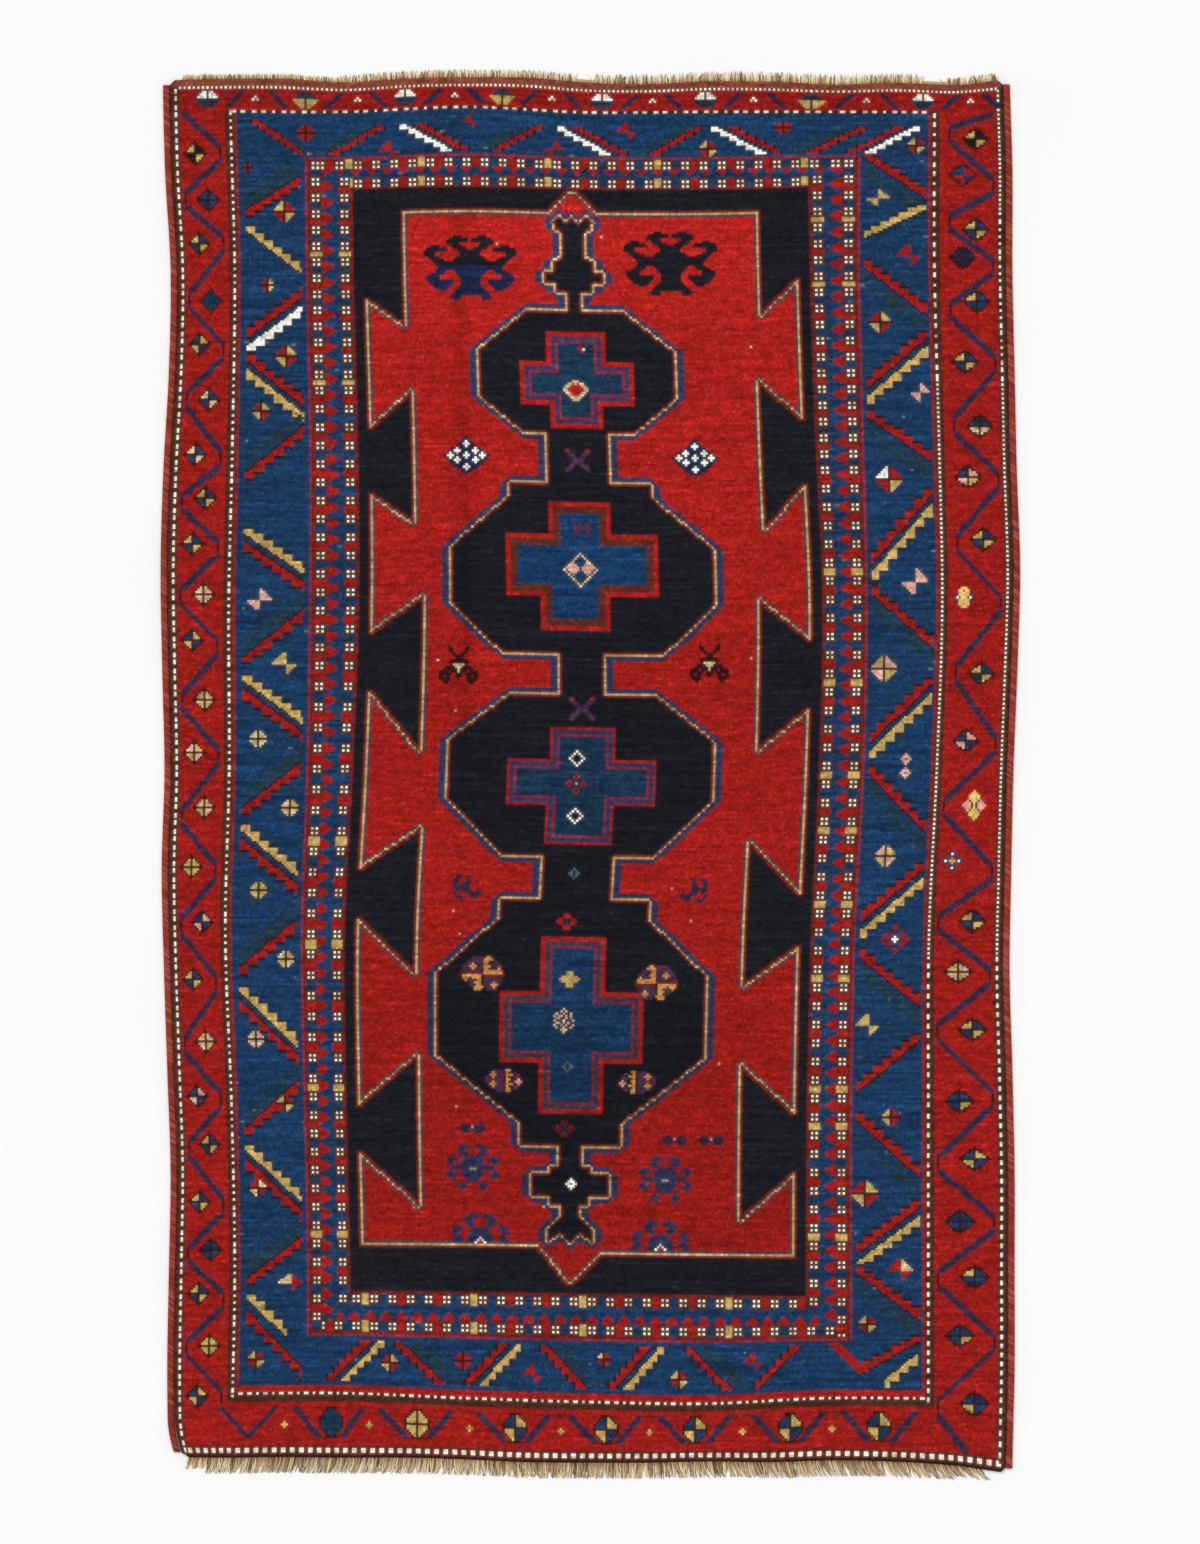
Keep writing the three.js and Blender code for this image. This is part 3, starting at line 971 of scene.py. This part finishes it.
# Lines of the design that the eye follows, each held at its mean place with the drift read along it.
# Upright lines: side, band, mean x, drift from the bottom end up.
WARP_STATIONS = range(-1200, 1201, 300)
WARP_LINES = (
    ("left", "guard_dots", -648.5, (2, 7, 1, -10, -3, -4, 3, 7, -1)),
    ("left", "purple", -507.2, (0, 2, -4, -9, 1, 6, 6, 0, -3)),
    ("left", "field", -428.4, (-4, -3, -10, -13, 2, 13, 11, 3, 0)),
    ("axis", "field", -27.0, (-7, -9, -8, -1, 14, 13, 6, -3, -7)),
    ("right", "field", 398.2, (-11, -10, -8, -1, 13, 20, 7, -3, -7)),
    ("right", "purple", 479.5, (-12, -12, -12, -6, 10, 16, 9, 2, 4)),
    ("right", "guard_dots", 620.1, (-9, -9, -9, -8, 6, 16, 10, 2, 2)),
)
# Level lines: side, band, mean y, drift from the left side across
WEFT_STATIONS = range(-660, 661, 220)
WEFT_LINES = (
    ("top", "guard_dots", 1185.8, (0, -1, 8, -2, -1, -1, -2)),
    ("top", "field", 1046.5, (-2, -2, 3, -2, -2, 3, 3)),
    ("bottom", "field", -942.1, (6, 5, 3, 0, -3, -5, -6)),
    ("bottom", "guard_dots", -1132.7, (8, 9, 0, -7, -10, 0, -1)),
)


def chart_place(side, band):
    """The row or column of the chart where one of those lines runs."""
    if side == "axis":
        return AXIS
    depth = FRAME[side] if band == "field" else START[side][band] + WIDTH[side][band] / 2
    return {"left": depth, "right": COLS - depth, "top": depth, "bottom": ROWS - depth}[side]


def weave():
    """Where the corner of every knot lies, as two arrays of x and y."""
    inset = CORD_WIDTH + GAP
    col_lines = [0, *(chart_place(side, band) for side, band, _, _ in WARP_LINES), COLS]
    row_lines = [0, *(chart_place(side, band) for side, band, _, _ in WEFT_LINES), ROWS]
    mean_x = [inset - HALF_WIDTH, *(mean for _, _, mean, _ in WARP_LINES), HALF_WIDTH - inset]
    mean_y = [HALF_LENGTH, *(mean for _, _, mean, _ in WEFT_LINES), -HALF_LENGTH]
    across = np.interp(range(COLS + 1), col_lines, mean_x)
    along = np.interp(range(ROWS + 1), row_lines, mean_y)

    upright = [mean + wander(WARP_STATIONS, drift, along) for _, _, mean, drift in WARP_LINES]
    upright = np.array([left_edge(along) + inset, *upright, right_edge(along) - inset])
    level = [mean + wander(WEFT_STATIONS, drift, across) for _, _, mean, drift in WEFT_LINES]
    level = np.array([top_edge(across), *level, bottom_edge(across)])
    x = np.array([np.interp(range(COLS + 1), col_lines, line) for line in upright.T])
    y = np.array([np.interp(range(ROWS + 1), row_lines, line) for line in level.T]).T
    return cut_corners(x, y)


def cut_corners(x, y):
    for row in (0, -1):
        for col in (0, -1):
            to_x = np.abs(x - x[row, col])
            to_y = np.abs(y - y[row, col])
            missing = np.clip(CORNER_CUT - to_x - to_y, 0, None) / 2
            x += np.where(col == 0, missing, -missing)
            y += np.where(row == 0, -missing, missing)
    return x, y


# Meshes
def new_piece(name, vertices, faces, material):
    """A mesh object from places in millimetres."""
    mesh = bpy.data.meshes.new(name)
    places = np.asarray(vertices, float) + (SHIFT_X, SHIFT_Y, 0)
    mesh.from_pydata((places * MM).tolist(), [], faces)
    mesh.polygons.foreach_set("use_smooth", [True] * len(mesh.polygons))
    mesh.materials.append(material)
    piece = bpy.data.objects.new(name, mesh)
    bpy.context.collection.objects.link(piece)
    return piece


def set_colours(piece, colours, domain):
    colours = np.asarray(colours, float).reshape(-1, 3)
    attribute = piece.data.color_attributes.new("yarn", "FLOAT_COLOR", domain)
    attribute.data.foreach_set("color", np.column_stack((colours, np.ones(len(colours)))).ravel())


def set_uv(piece, name, places):
    layer = piece.data.uv_layers.new(name=name)
    layer.data.foreach_set("uv", np.asarray(places, float).ravel())


def ring_walls(index):
    """Faces between neighbouring rings, from the vertices' numbers as an array of rings by sides."""
    onward = np.roll(index, -1, axis=-1)
    corners = (index[..., :-1, :], onward[..., :-1, :], onward[..., 1:, :], index[..., 1:, :])
    return np.stack(corners, axis=-1).reshape(-1, 4)


def corners_of(grid):
    """The four corner values of every cell: lower left, lower right, upper right, upper left."""
    return np.stack((grid[1:, :-1], grid[1:, 1:], grid[:-1, 1:], grid[:-1, :-1]), axis=2)


STRIPS = 4
FOLDS = 3  # a strip's map lies in so many lengths side by side, to fill a square
RIM_RUN = 5.0  # the pile leans over within this distance of its edge
SKIRT_BOTTOM = 0.5
SKIRT_OUT = GAP / 3
TUFT_SPREAD = 0.22
TUFT_SINK = 0.3  # the tufts' mean height lies this far under the solid's top
OWN_SHARE = 0.75  # a knot's corners keep this share of its own colour
PALE_YARNS = list("wWcCl")  # knots of these keep all of it


def grid_piece(name, x, y, z, material, face_down=False):
    """A sheet with one face for each cell of a grid of places."""
    vertices = np.stack((x, y, z), axis=2).reshape(-1, 3)
    faces = corners_of(np.arange(len(vertices)).reshape(x.shape)).reshape(-1, 4)
    return new_piece(name, vertices, (faces[:, ::-1] if face_down else faces).tolist(), material)


def pile_heights(x, y):
    """Uneven tufts that lean over along the rug's edge."""
    to_side = np.minimum(x - x[:, :1], x[:, -1:] - x)
    to_end = np.minimum(y[:1] - y, y - y[-1:])
    share = np.clip(np.minimum(to_side, to_end) / RIM_RUN, 0, 1)
    rim = PILE_RIM * (1 - np.sqrt(1 - (1 - share) ** 2))
    tufts = TUFT_SPREAD * RNG.normal(size=x.shape) * share
    return PILE_TOP - TUFT_SINK - rim + tufts


def folded_map(rows, cols):
    """Map places of a strip's cells, in FOLDS lengths with a margin round each."""
    length = math.ceil(rows / FOLDS)
    row, col = np.mgrid[:rows, :cols]
    fold = row // length
    size = FOLDS * (cols + 2)
    u0 = fold * (cols + 2) + 1 + col
    v0 = row - fold * length + 1
    u = np.stack((u0, u0 + 1, u0 + 1, u0), axis=2)
    v = np.stack((v0 + 1, v0 + 1, v0, v0), axis=2)
    return np.stack((u, size - v), axis=3) / size


def pile_strips(x, y, colours, material):
    """The pile as upright strips with one cell a knot, and a skirt of yarn round the rug's edge."""
    z = np.pad(pile_heights(x, y), 1, constant_values=SKIRT_BOTTOM)
    x = np.pad(x, 1, mode="edge")
    y = np.pad(y, 1, mode="edge")
    x[:, 0] -= SKIRT_OUT
    x[:, -1] += SKIRT_OUT
    y[0] += SKIRT_OUT
    y[-1] -= SKIRT_OUT
    own = np.pad(colours, ((1, 1), (1, 1), (0, 0)), mode="edge")
    around = np.pad(own, ((1, 1), (1, 1), (0, 0)), mode="edge")
    around = (around[1:, 1:] + around[1:, :-1] + around[:-1, 1:] + around[:-1, :-1]) / 4
    keep = np.pad(np.where(np.isin(chart, PALE_YARNS), 1.0, OWN_SHARE), 1, mode="edge")
    rows, cols = own.shape[:2]
    knot_row, knot_col = np.mgrid[:rows + 1, :cols + 1]
    knot = np.stack((knot_col, -knot_row), axis=2)

    strips = []
    ends = np.linspace(0, cols, STRIPS + 1).astype(int)
    for number, (first, last) in enumerate(zip(ends, ends[1:]), 1):
        part = np.s_[:, first:last + 1]
        strip = grid_piece(f"pile_strip_{number}", x[part], y[part], z[part], material)
        share = keep[:, first:last, None, None]
        mixed = share * own[:, first:last, None] + (1 - share) * corners_of(around[part])
        set_colours(strip, mixed, "CORNER")
        set_uv(strip, "Knots", corners_of(knot[part]))
        set_uv(strip, "OFBake", folded_map(rows, last - first))
        strips.append(strip)
    return strips


BACK_STEP = 2  # the back is drawn with one cell for so many knots
BACK_LEVEL = 0.3
BACK_INSET = 0.4
BACK_PALE = 0.12  # share of undyed foundation that shows between the knots


def foundation_back(x, y, colours, material):
    """The woven back, which shows the same design a little paler, face down."""
    rows = [*range(0, ROWS, BACK_STEP), ROWS]
    cols = [*range(0, COLS, BACK_STEP), COLS]
    x = np.clip(x, x[:, :1] + BACK_INSET, x[:, -1:] - BACK_INSET)[np.ix_(rows, cols)]
    y = np.clip(y, y[-1:] + BACK_INSET, y[:1] - BACK_INSET)[np.ix_(rows, cols)]
    back = grid_piece("foundation", x, y, np.full(x.shape, BACK_LEVEL), material, face_down=True)
    even = np.pad(colours, ((0, -ROWS % BACK_STEP), (0, -COLS % BACK_STEP), (0, 0)), mode="edge")
    shown = even.reshape(len(rows) - 1, BACK_STEP, len(cols) - 1, BACK_STEP, 3).mean(axis=(1, 3))
    shown = shown + (linear(WARP_TONES["mid"]) - shown) * BACK_PALE
    set_colours(back, np.repeat(shown.reshape(-1, 3), 4, axis=0), "CORNER")
    return back


# Side cords: wool wrapped round the outermost warps
CORD_RING = 1.05  # distance between the rings of the mesh
CORD_ARC = 8  # points of a ring that lie on its round upper side
CORD_FOOT = 0.8  # width of the flat underside, as a share of the cord's
CORD_SHOULDER = 0.2  # height where the round begins, as a share of the cord's
CORD_ROUND = 0.8  # power of the round, under 1 for a full one
CORD_LIFT = 0.02
WRAP_PITCH = 3.2
WRAP_SLANT = 0.3  # how far a wrap moves along from middle to side, as a share of the cord's width
WRAP_GROOVE = 0.16  # depth between two wraps, as a share of the cord's size
WRAP_ROUND = 0.7  # power of a wrap's round
GROOVE_SHADE = 0.45  # painted shade: tone in the groove between two wraps
CORD_TONES = ((176, 66, 50), (158, 58, 44), (186, 92, 78), (142, 50, 38), (172, 56, 42))


def side_cord(name, side, edge, material):
    """One side cord with a ridge and a tone for each wrap. Side is -1 on the left and 1 on the right."""
    low = bottom_edge(side * HALF_WIDTH) + CORNER_CUT
    high = top_edge(side * HALF_WIDTH) - CORNER_CUT
    y = np.linspace(low, high, round((high - low) / CORD_RING))[:, None]
    turn = np.linspace(0, math.pi, CORD_ARC)
    across = np.array([*np.cos(turn), -CORD_FOOT, CORD_FOOT])
    up = np.array([*(CORD_SHOULDER + (1 - CORD_SHOULDER) * np.sin(turn) ** CORD_ROUND), 0, 0])
    phase = (y + WRAP_SLANT * across * CORD_WIDTH) / WRAP_PITCH
    crown = np.abs(np.sin(math.pi * phase)) ** WRAP_ROUND
    swell = 1 - WRAP_GROOVE * (1 - crown)
    x = edge(y) - side * CORD_WIDTH / 2 + across * swell * CORD_WIDTH / 2
    z = up * swell * CORD_TOP + CORD_LIFT
    vertices = np.stack((x, np.broadcast_to(y, x.shape), z), axis=2).reshape(-1, 3)

    index = np.arange(len(vertices)).reshape(x.shape)
    walls = ring_walls(index)[:, [0, 3, 2, 1]]  # turned round, to face outwards
    faces = [*walls.tolist(), index[0].tolist(), index[-1, ::-1].tolist()]
    cord = new_piece(name, vertices, faces, material)

    wraps = np.floor(phase).astype(int)
    tones = linear(CORD_TONES)[RNG.integers(len(CORD_TONES), size=np.ptp(wraps) + 1)]
    # painted shade: each wrap darkens towards the grooves beside it
    shade = GROOVE_SHADE + (1 - GROOVE_SHADE) * crown
    set_colours(cord, tones[wraps - wraps.min()] * shade[..., None], "POINT")
    return cord


# Fringes: width of the woven band, distance between strands, segments of a strand, strands in a lock, how far
# tips stray, how uneven the lengths are, and the tone. Spans are first, last and the strands' length, and the
# lean is how far the tips lie to the right at places across the rug.
TOP_FRINGE = {
    "band": 6.0, "pitch": 1.8, "segments": 3, "lock": 5, "spread": 0.8, "uneven": 0.28, "tone": 1.5,
    "spans": ((-735, -450, 4), (-450, -25, 8), (5, 600, 11), (640, 735, 9)),
    "lean": ((-735, 0), (735, 0)),
}
BOTTOM_FRINGE = {
    "band": 5.0, "pitch": 1.3, "segments": 6, "lock": 6, "spread": 2.6, "uneven": 0.1, "tone": 1.0,
    "spans": ((-722, -690, 16), (-690, 640, 24), (640, 706, 17)),
    "lean": (
        (-722, -4), (-450, -7), (-250, -3), (-120, 5), (0, -3), (150, 4), (300, 9), (500, 13), (706, 16),
    ),
}
ROOT_PLACES = (0.2, 0.8)  # where a root may lie between two marks of the pitch
LOCK_PULL = 0.35  # share of the way that strands draw in to the middle of their lock
OWN_STRAY = 0.8  # how far a strand strays in its lock, as a share of how far the lock does
LEAN_POWER = 1.4  # over 1, so that a strand starts straight
CURL = 1.3
CURL_TURN = 1.5 * math.pi
SHORTENING = 0.06  # share of its reach that a strand loses to its bends
ROOT_LEVEL = 1.0
LIFT = 1.3  # strands lie over and under each other within this height
ARCH = 1.1  # how far a strand rises before its tip comes down
ARCH_END = 0.8  # share of its length where it is down again
TIP_DROP = 0.4
STRAND_FLOOR = 0.05  # no strand or band reaches lower
STRAND_RADIUS = 0.95
STRAND_TAPER = 0.4
STRAND_SIDES = 4
STRAND_TONES = 0.3  # how much tones vary from strand to strand
LOCK_TONES = 0.12  # and from lock to lock
SHADOW = 0.12  # painted shade: tone of the lowest ones, which lie under the others
SHADE_POWERS = (0.85, 1.0, 1.2)  # for red, green and blue, so that dark strands are brown
# Warp colours from root to tip; the darker root is partly the yarn's own tone and partly painted shade near
# the pile
WARP_TONES = {"root": (196, 164, 120), "mid": (240, 208, 160), "tip": (250, 230, 190)}
MID_PLACE = 0.4  # of the middle tone along a strand
BAND_STATION = 10.0
BAND_TOP = 0.55 * WEB_TOP  # lower than the solid's, so that the strands lie over it


def strand_paths(edge, outward, sizes):
    """The strands' middle lines as x, y and z, and each strand's lock and how high it lies in it."""
    roots, lengths = [], []
    for first, last, length in sizes["spans"]:
        count = int((last - first) / sizes["pitch"])
        roots += list(first + (np.arange(count) + RNG.uniform(*ROOT_PLACES, count)) * sizes["pitch"])
        lengths += list(length * (1 + sizes["uneven"] * RNG.uniform(-1, 1, count)))
    root = np.array(roots)[:, None]
    reach = np.array(lengths)[:, None] + sizes["band"]

    count = len(root)
    lock = np.arange(count) // sizes["lock"]
    middle = (np.bincount(lock, root[:, 0]) / np.bincount(lock))[lock, None]
    stray = RNG.normal(size=lock.max() + 1)[lock] + OWN_STRAY * RNG.normal(size=count)
    lean = np.interp(root, *zip(*sizes["lean"])) + LOCK_PULL * (middle - root)
    lean += sizes["spread"] * stray[:, None]
    curl = CURL * RNG.normal(size=(count, 1))
    lift = RNG.uniform(0, 1, count)

    t = np.linspace(0, 1, sizes["segments"] + 1)
    x = root + lean * t ** LEAN_POWER + curl * np.sin(CURL_TURN * t)
    y = edge(root) + outward * (GAP + reach * t * (1 - SHORTENING * t))
    arch = ARCH * np.sin(math.pi * np.clip(t / ARCH_END, 0, 1))
    z = ROOT_LEVEL + LIFT * lift[:, None] + arch - TIP_DROP * t
    return (x, y, z), lock, lift


def strand_tubes(x, y, z):
    """Thin tubes along the strands' middle lines, closed at their tips."""
    t = np.linspace(0, 1, x.shape[1])[:, None]
    radius = STRAND_RADIUS * (1 - STRAND_TAPER * t ** 2)
    angle = 2 * math.pi * np.arange(STRAND_SIDES) / STRAND_SIDES + math.pi / 2
    ring_x = x[..., None] + radius * np.cos(angle)
    ring_y = np.broadcast_to(y[..., None], ring_x.shape)
    ring_z = np.maximum(z[..., None] + radius * np.sin(angle), STRAND_FLOOR)
    vertices = np.stack((ring_x, ring_y, ring_z), axis=3).reshape(-1, 3)
    index = np.arange(len(vertices)).reshape(ring_x.shape)
    return vertices, np.concatenate((ring_walls(index), index[:, -1]))


def strand_colours(lock, lift, steps, tone):
    """A colour for each vertex of the tubes, with painted shade where a strand lies low in its lock."""
    stops = np.array([linear(WARP_TONES[place]) for place in ("root", "mid", "tip")])
    t = np.linspace(0, 1, steps)
    along = np.stack([np.interp(t, (0, MID_PLACE, 1), channel) for channel in stops.T], axis=1)
    own = STRAND_TONES * RNG.normal(size=len(lock))
    shade = np.exp(own + LOCK_TONES * RNG.normal(size=lock.max() + 1)[lock])
    # painted shade: the lower a strand lies in its lock, the darker it is
    shade *= tone * (SHADOW + (1 - SHADOW) * lift)
    colours = along * shade[:, None, None] ** np.array(SHADE_POWERS)
    return np.repeat(colours[:, :, None], STRAND_SIDES, axis=2).reshape(-1, 3)


def woven_band(edge, outward, width, first, last):
    """A flat bar along one end of the rug, from first to last across it."""
    x = np.arange(first, last + BAND_STATION, BAND_STATION).clip(None, last)
    inner = edge(x) + outward * GAP
    outer = inner + outward * width
    rails = ((inner, STRAND_FLOOR), (outer, STRAND_FLOOR), (outer, BAND_TOP), (inner, BAND_TOP))
    rings = np.stack([np.stack((x, y, np.full(len(x), z)), axis=1) for y, z in rails], axis=1)
    vertices = rings.reshape(-1, 3)
    index = np.arange(len(vertices)).reshape(-1, len(rails))
    return vertices, np.concatenate((ring_walls(index), [index[0, ::-1], index[-1]]))


def fringe(name, edge, outward, sizes, material):
    """A flat-woven band along one end and the warp ends that lie out from it in loose locks."""
    path, lock, lift = strand_paths(edge, outward, sizes)
    strands, strand_faces = strand_tubes(*path)
    colours = strand_colours(lock, lift, sizes["segments"] + 1, sizes["tone"])
    roots = path[0][:, 0]
    band, band_faces = woven_band(edge, outward, sizes["band"], roots.min(), roots.max())
    if outward > 0:
        strand_faces = strand_faces[:, ::-1]
    else:
        band_faces = band_faces[:, ::-1]
    faces = np.concatenate((strand_faces, band_faces + len(strands)))
    piece = new_piece(name, np.concatenate((strands, band)), faces.tolist(), material)
    band_colours = np.tile(linear(WARP_TONES["root"]), (len(band), 1))
    set_colours(piece, np.clip(np.concatenate((colours, band_colours)), 0, 1), "POINT")
    return piece


# Materials
FIBRE_RANGE = (0.3, 0.7)  # values of the noise where the fibres are darkest and lightest
BUMP_STRENGTH = 0.6
BUMP_HEIGHT = 1.2
WOOL_SPECULAR = 0.05
SHEEN_ROUGHNESS = 0.6
TUFTS = {"Scale": 1.0, "Randomness": 0.45, "Smoothness": 0.4}
RIB_PITCH = 2.1  # across the back
ROW_PITCH = 4.1  # along it
WAVES = 2 * math.pi / 20  # scale of a wave texture that repeats at every unit
FLOOR_TONES = ((0.95, 0.95, 0.947, 1), (0.975, 0.975, 0.972, 1))


def set_up(tree, node, **settings):
    """Sets up a shader node. A setting named after a socket goes on that socket, or is linked to it."""
    for name, value in settings.items():
        socket = node.inputs.get(name.replace("_", " "))
        if socket is None:
            setattr(node, name, value)
        elif isinstance(value, bpy.types.NodeSocket):
            tree.links.new(value, socket)
        else:
            socket.default_value = value
    return node


def add_node(tree, kind, **settings):
    return set_up(tree, tree.nodes.new(kind), **settings)


def combine(tree, kind, operation, first, second):
    """The result of one operation on two sockets."""
    node = add_node(tree, kind, operation=operation)
    tree.links.new(first, node.inputs[0])
    tree.links.new(second, node.inputs[1])
    return node.outputs[0]


def new_material(name):
    """A material, its node tree, its shader and the places on the object."""
    material = bpy.data.materials.new(name)
    material.use_nodes = True
    tree = material.node_tree
    places = add_node(tree, "ShaderNodeTexCoord").outputs["Object"]
    return material, tree, tree.nodes["Principled BSDF"], places


def wool(name, fibre_scale, fibre_depth, roughness, sheen, relief):
    """Wool that takes its colour from the knots or wraps of the mesh. Relief adds what stands out on it."""
    material, tree, shader, places = new_material(name)
    yarn = add_node(tree, "ShaderNodeVertexColor", layer_name="yarn")
    fibre = add_node(tree, "ShaderNodeTexNoise", Vector=places, Scale=fibre_scale, Detail=3.0).outputs["Fac"]
    tone = add_node(
        tree, "ShaderNodeMapRange", Value=fibre, From_Min=FIBRE_RANGE[0], From_Max=FIBRE_RANGE[1],
        To_Min=1 - fibre_depth, To_Max=1 + fibre_depth,
    )
    height = relief(tree, places, fibre)
    bump = add_node(tree, "ShaderNodeBump", Height=height, Strength=BUMP_STRENGTH, Distance=BUMP_HEIGHT * MM)
    dyed = combine(tree, "ShaderNodeVectorMath", "MULTIPLY", yarn.outputs["Color"], tone.outputs["Result"])
    set_up(
        tree, shader, Base_Color=dyed, Normal=bump.outputs["Normal"], Roughness=roughness,
        Specular_IOR_Level=WOOL_SPECULAR, Sheen_Weight=sheen, Sheen_Roughness=SHEEN_ROUGHNESS,
    )
    return material


def tuft_relief(tree, places, fibre):
    """One soft tuft a knot, loosely in rows."""
    knots = add_node(tree, "ShaderNodeUVMap", uv_map="Knots")
    tuft = add_node(
        tree, "ShaderNodeTexVoronoi", voronoi_dimensions="2D", feature="SMOOTH_F1",
        Vector=knots.outputs["UV"], **TUFTS,
    )
    return combine(tree, "ShaderNodeMath", "SUBTRACT", fibre, tuft.outputs["Distance"])


def fibre_relief(tree, places, fibre):
    return fibre


def rib_relief(tree, places, fibre):
    """The ridged back of the knots, two ridges a knot along each row."""
    waves = []
    for direction, pitch in (("X", RIB_PITCH), ("Y", ROW_PITCH)):
        scale = WAVES / (pitch * MM)
        wave = add_node(tree, "ShaderNodeTexWave", bands_direction=direction, Vector=places, Scale=scale)
        waves.append(wave.outputs["Fac"])
    return combine(tree, "ShaderNodeMath", "MULTIPLY", *waves)


# Wools: scale of the fibres, how much lighter and darker they are, roughness, sheen and relief
WOOLS = {
    "pile_wool": (900.0, 0.16, 0.95, 0.04, tuft_relief),
    "back_wool": (700.0, 0.12, 0.95, 0.03, rib_relief),
    "cord_wool": (1100.0, 0.2, 0.92, 0.04, fibre_relief),
    "warp_yarn": (1300.0, 0.16, 0.9, 0.04, fibre_relief),
}


def floor_material():
    material, tree, shader, places = new_material("pale_floor")
    grain = add_node(tree, "ShaderNodeTexNoise", Vector=places, Scale=3.0, Detail=2.0)
    shade = add_node(tree, "ShaderNodeValToRGB", Fac=grain.outputs["Fac"])
    for element, tone in zip(shade.color_ramp.elements, FLOOR_TONES):
        element.color = tone
    set_up(tree, shader, Base_Color=shade.outputs["Color"], Roughness=0.9, Specular_IOR_Level=0.1)
    return material


# Camera, light and floor
VIEW_LENGTH = 2779.2  # what the long side of the picture takes in
VIEW_MIDDLE = (18.0, -3.6)
LENS = 100.0
SENSOR = 36.0
CLIP_END = 100  # metres
FLOOR_REACH = 40.0  # metres from the middle, past what low views take in
FLOOR_LEVEL = -0.4
WORLD_LIGHT = 0.72  # share of the light that comes from all round, the rest from the sun
SUN_SIZE = math.radians(35)
SUN_HEIGHT = math.radians(52)
SUN_AZIMUTH = math.radians(130)


def set_stage():
    scene = bpy.context.scene
    scene.view_settings.view_transform = "Standard"

    camera = bpy.data.objects.new("camera", bpy.data.cameras.new("camera"))
    camera.data.lens = LENS
    camera.data.sensor_width = SENSOR
    camera.data.clip_end = CLIP_END
    height = PILE_TOP + VIEW_LENGTH * LENS / SENSOR
    camera.location = ((VIEW_MIDDLE[0] + SHIFT_X) * MM, (VIEW_MIDDLE[1] + SHIFT_Y) * MM, height * MM)
    scene.collection.objects.link(camera)
    scene.camera = camera

    world = bpy.data.worlds.new("studio")
    world.use_nodes = True
    background = world.node_tree.nodes["Background"]
    set_up(world.node_tree, background, Color=(1, 1, 1, 1), Strength=WORLD_LIGHT)
    scene.world = world

    sun = bpy.data.objects.new("window_light", bpy.data.lights.new("window_light", "SUN"))
    sun.data.angle = SUN_SIZE
    sun.data.energy = (1 - WORLD_LIGHT) * math.pi / math.sin(SUN_HEIGHT)
    sun.rotation_euler = (math.pi / 2 - SUN_HEIGHT, 0, SUN_AZIMUTH + math.pi / 2)
    scene.collection.objects.link(sun)

    mesh = bpy.data.meshes.new("floor")
    corners = [(x * FLOOR_REACH, y * FLOOR_REACH, 0) for x, y in ((-1, -1), (1, -1), (1, 1), (-1, 1))]
    mesh.from_pydata(corners, [], [(0, 1, 2, 3)])
    mesh.materials.append(floor_material())
    floor = bpy.data.objects.new("floor", mesh)
    floor.location.z = FLOOR_LEVEL * MM
    scene.collection.objects.link(floor)


def build_rug():
    field = paint_chart()
    colours = knot_colours(field)
    x, y = weave()
    wools = {name: wool(name, *looks) for name, looks in WOOLS.items()}
    strips = pile_strips(x, y, colours, wools["pile_wool"])
    back = foundation_back(x, y, colours, wools["back_wool"])
    cords = {
        "side_cord_left": side_cord("wrapped_cord_left", -1, left_edge, wools["cord_wool"]),
        "side_cord_right": side_cord("wrapped_cord_right", 1, right_edge, wools["cord_wool"]),
    }
    fringes = {
        "fringe_top": fringe("warp_ends_top", top_edge, 1, TOP_FRINGE, wools["warp_yarn"]),
        "fringe_bottom": fringe("warp_ends_bottom", bottom_edge, -1, BOTTOM_FRINGE, wools["warp_yarn"]),
    }
    for piece in [*strips, back]:
        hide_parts("pile")
    for slot, pieces in (("side_wool", cords), ("warp_yarn", fringes)):
        for node, piece in pieces.items():
            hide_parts(node)
    others = [*strips, *cords.values(), *fringes.values()]
    for piece in [back, *others]:
        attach(piece, "root")


set_stage()
build_rug()
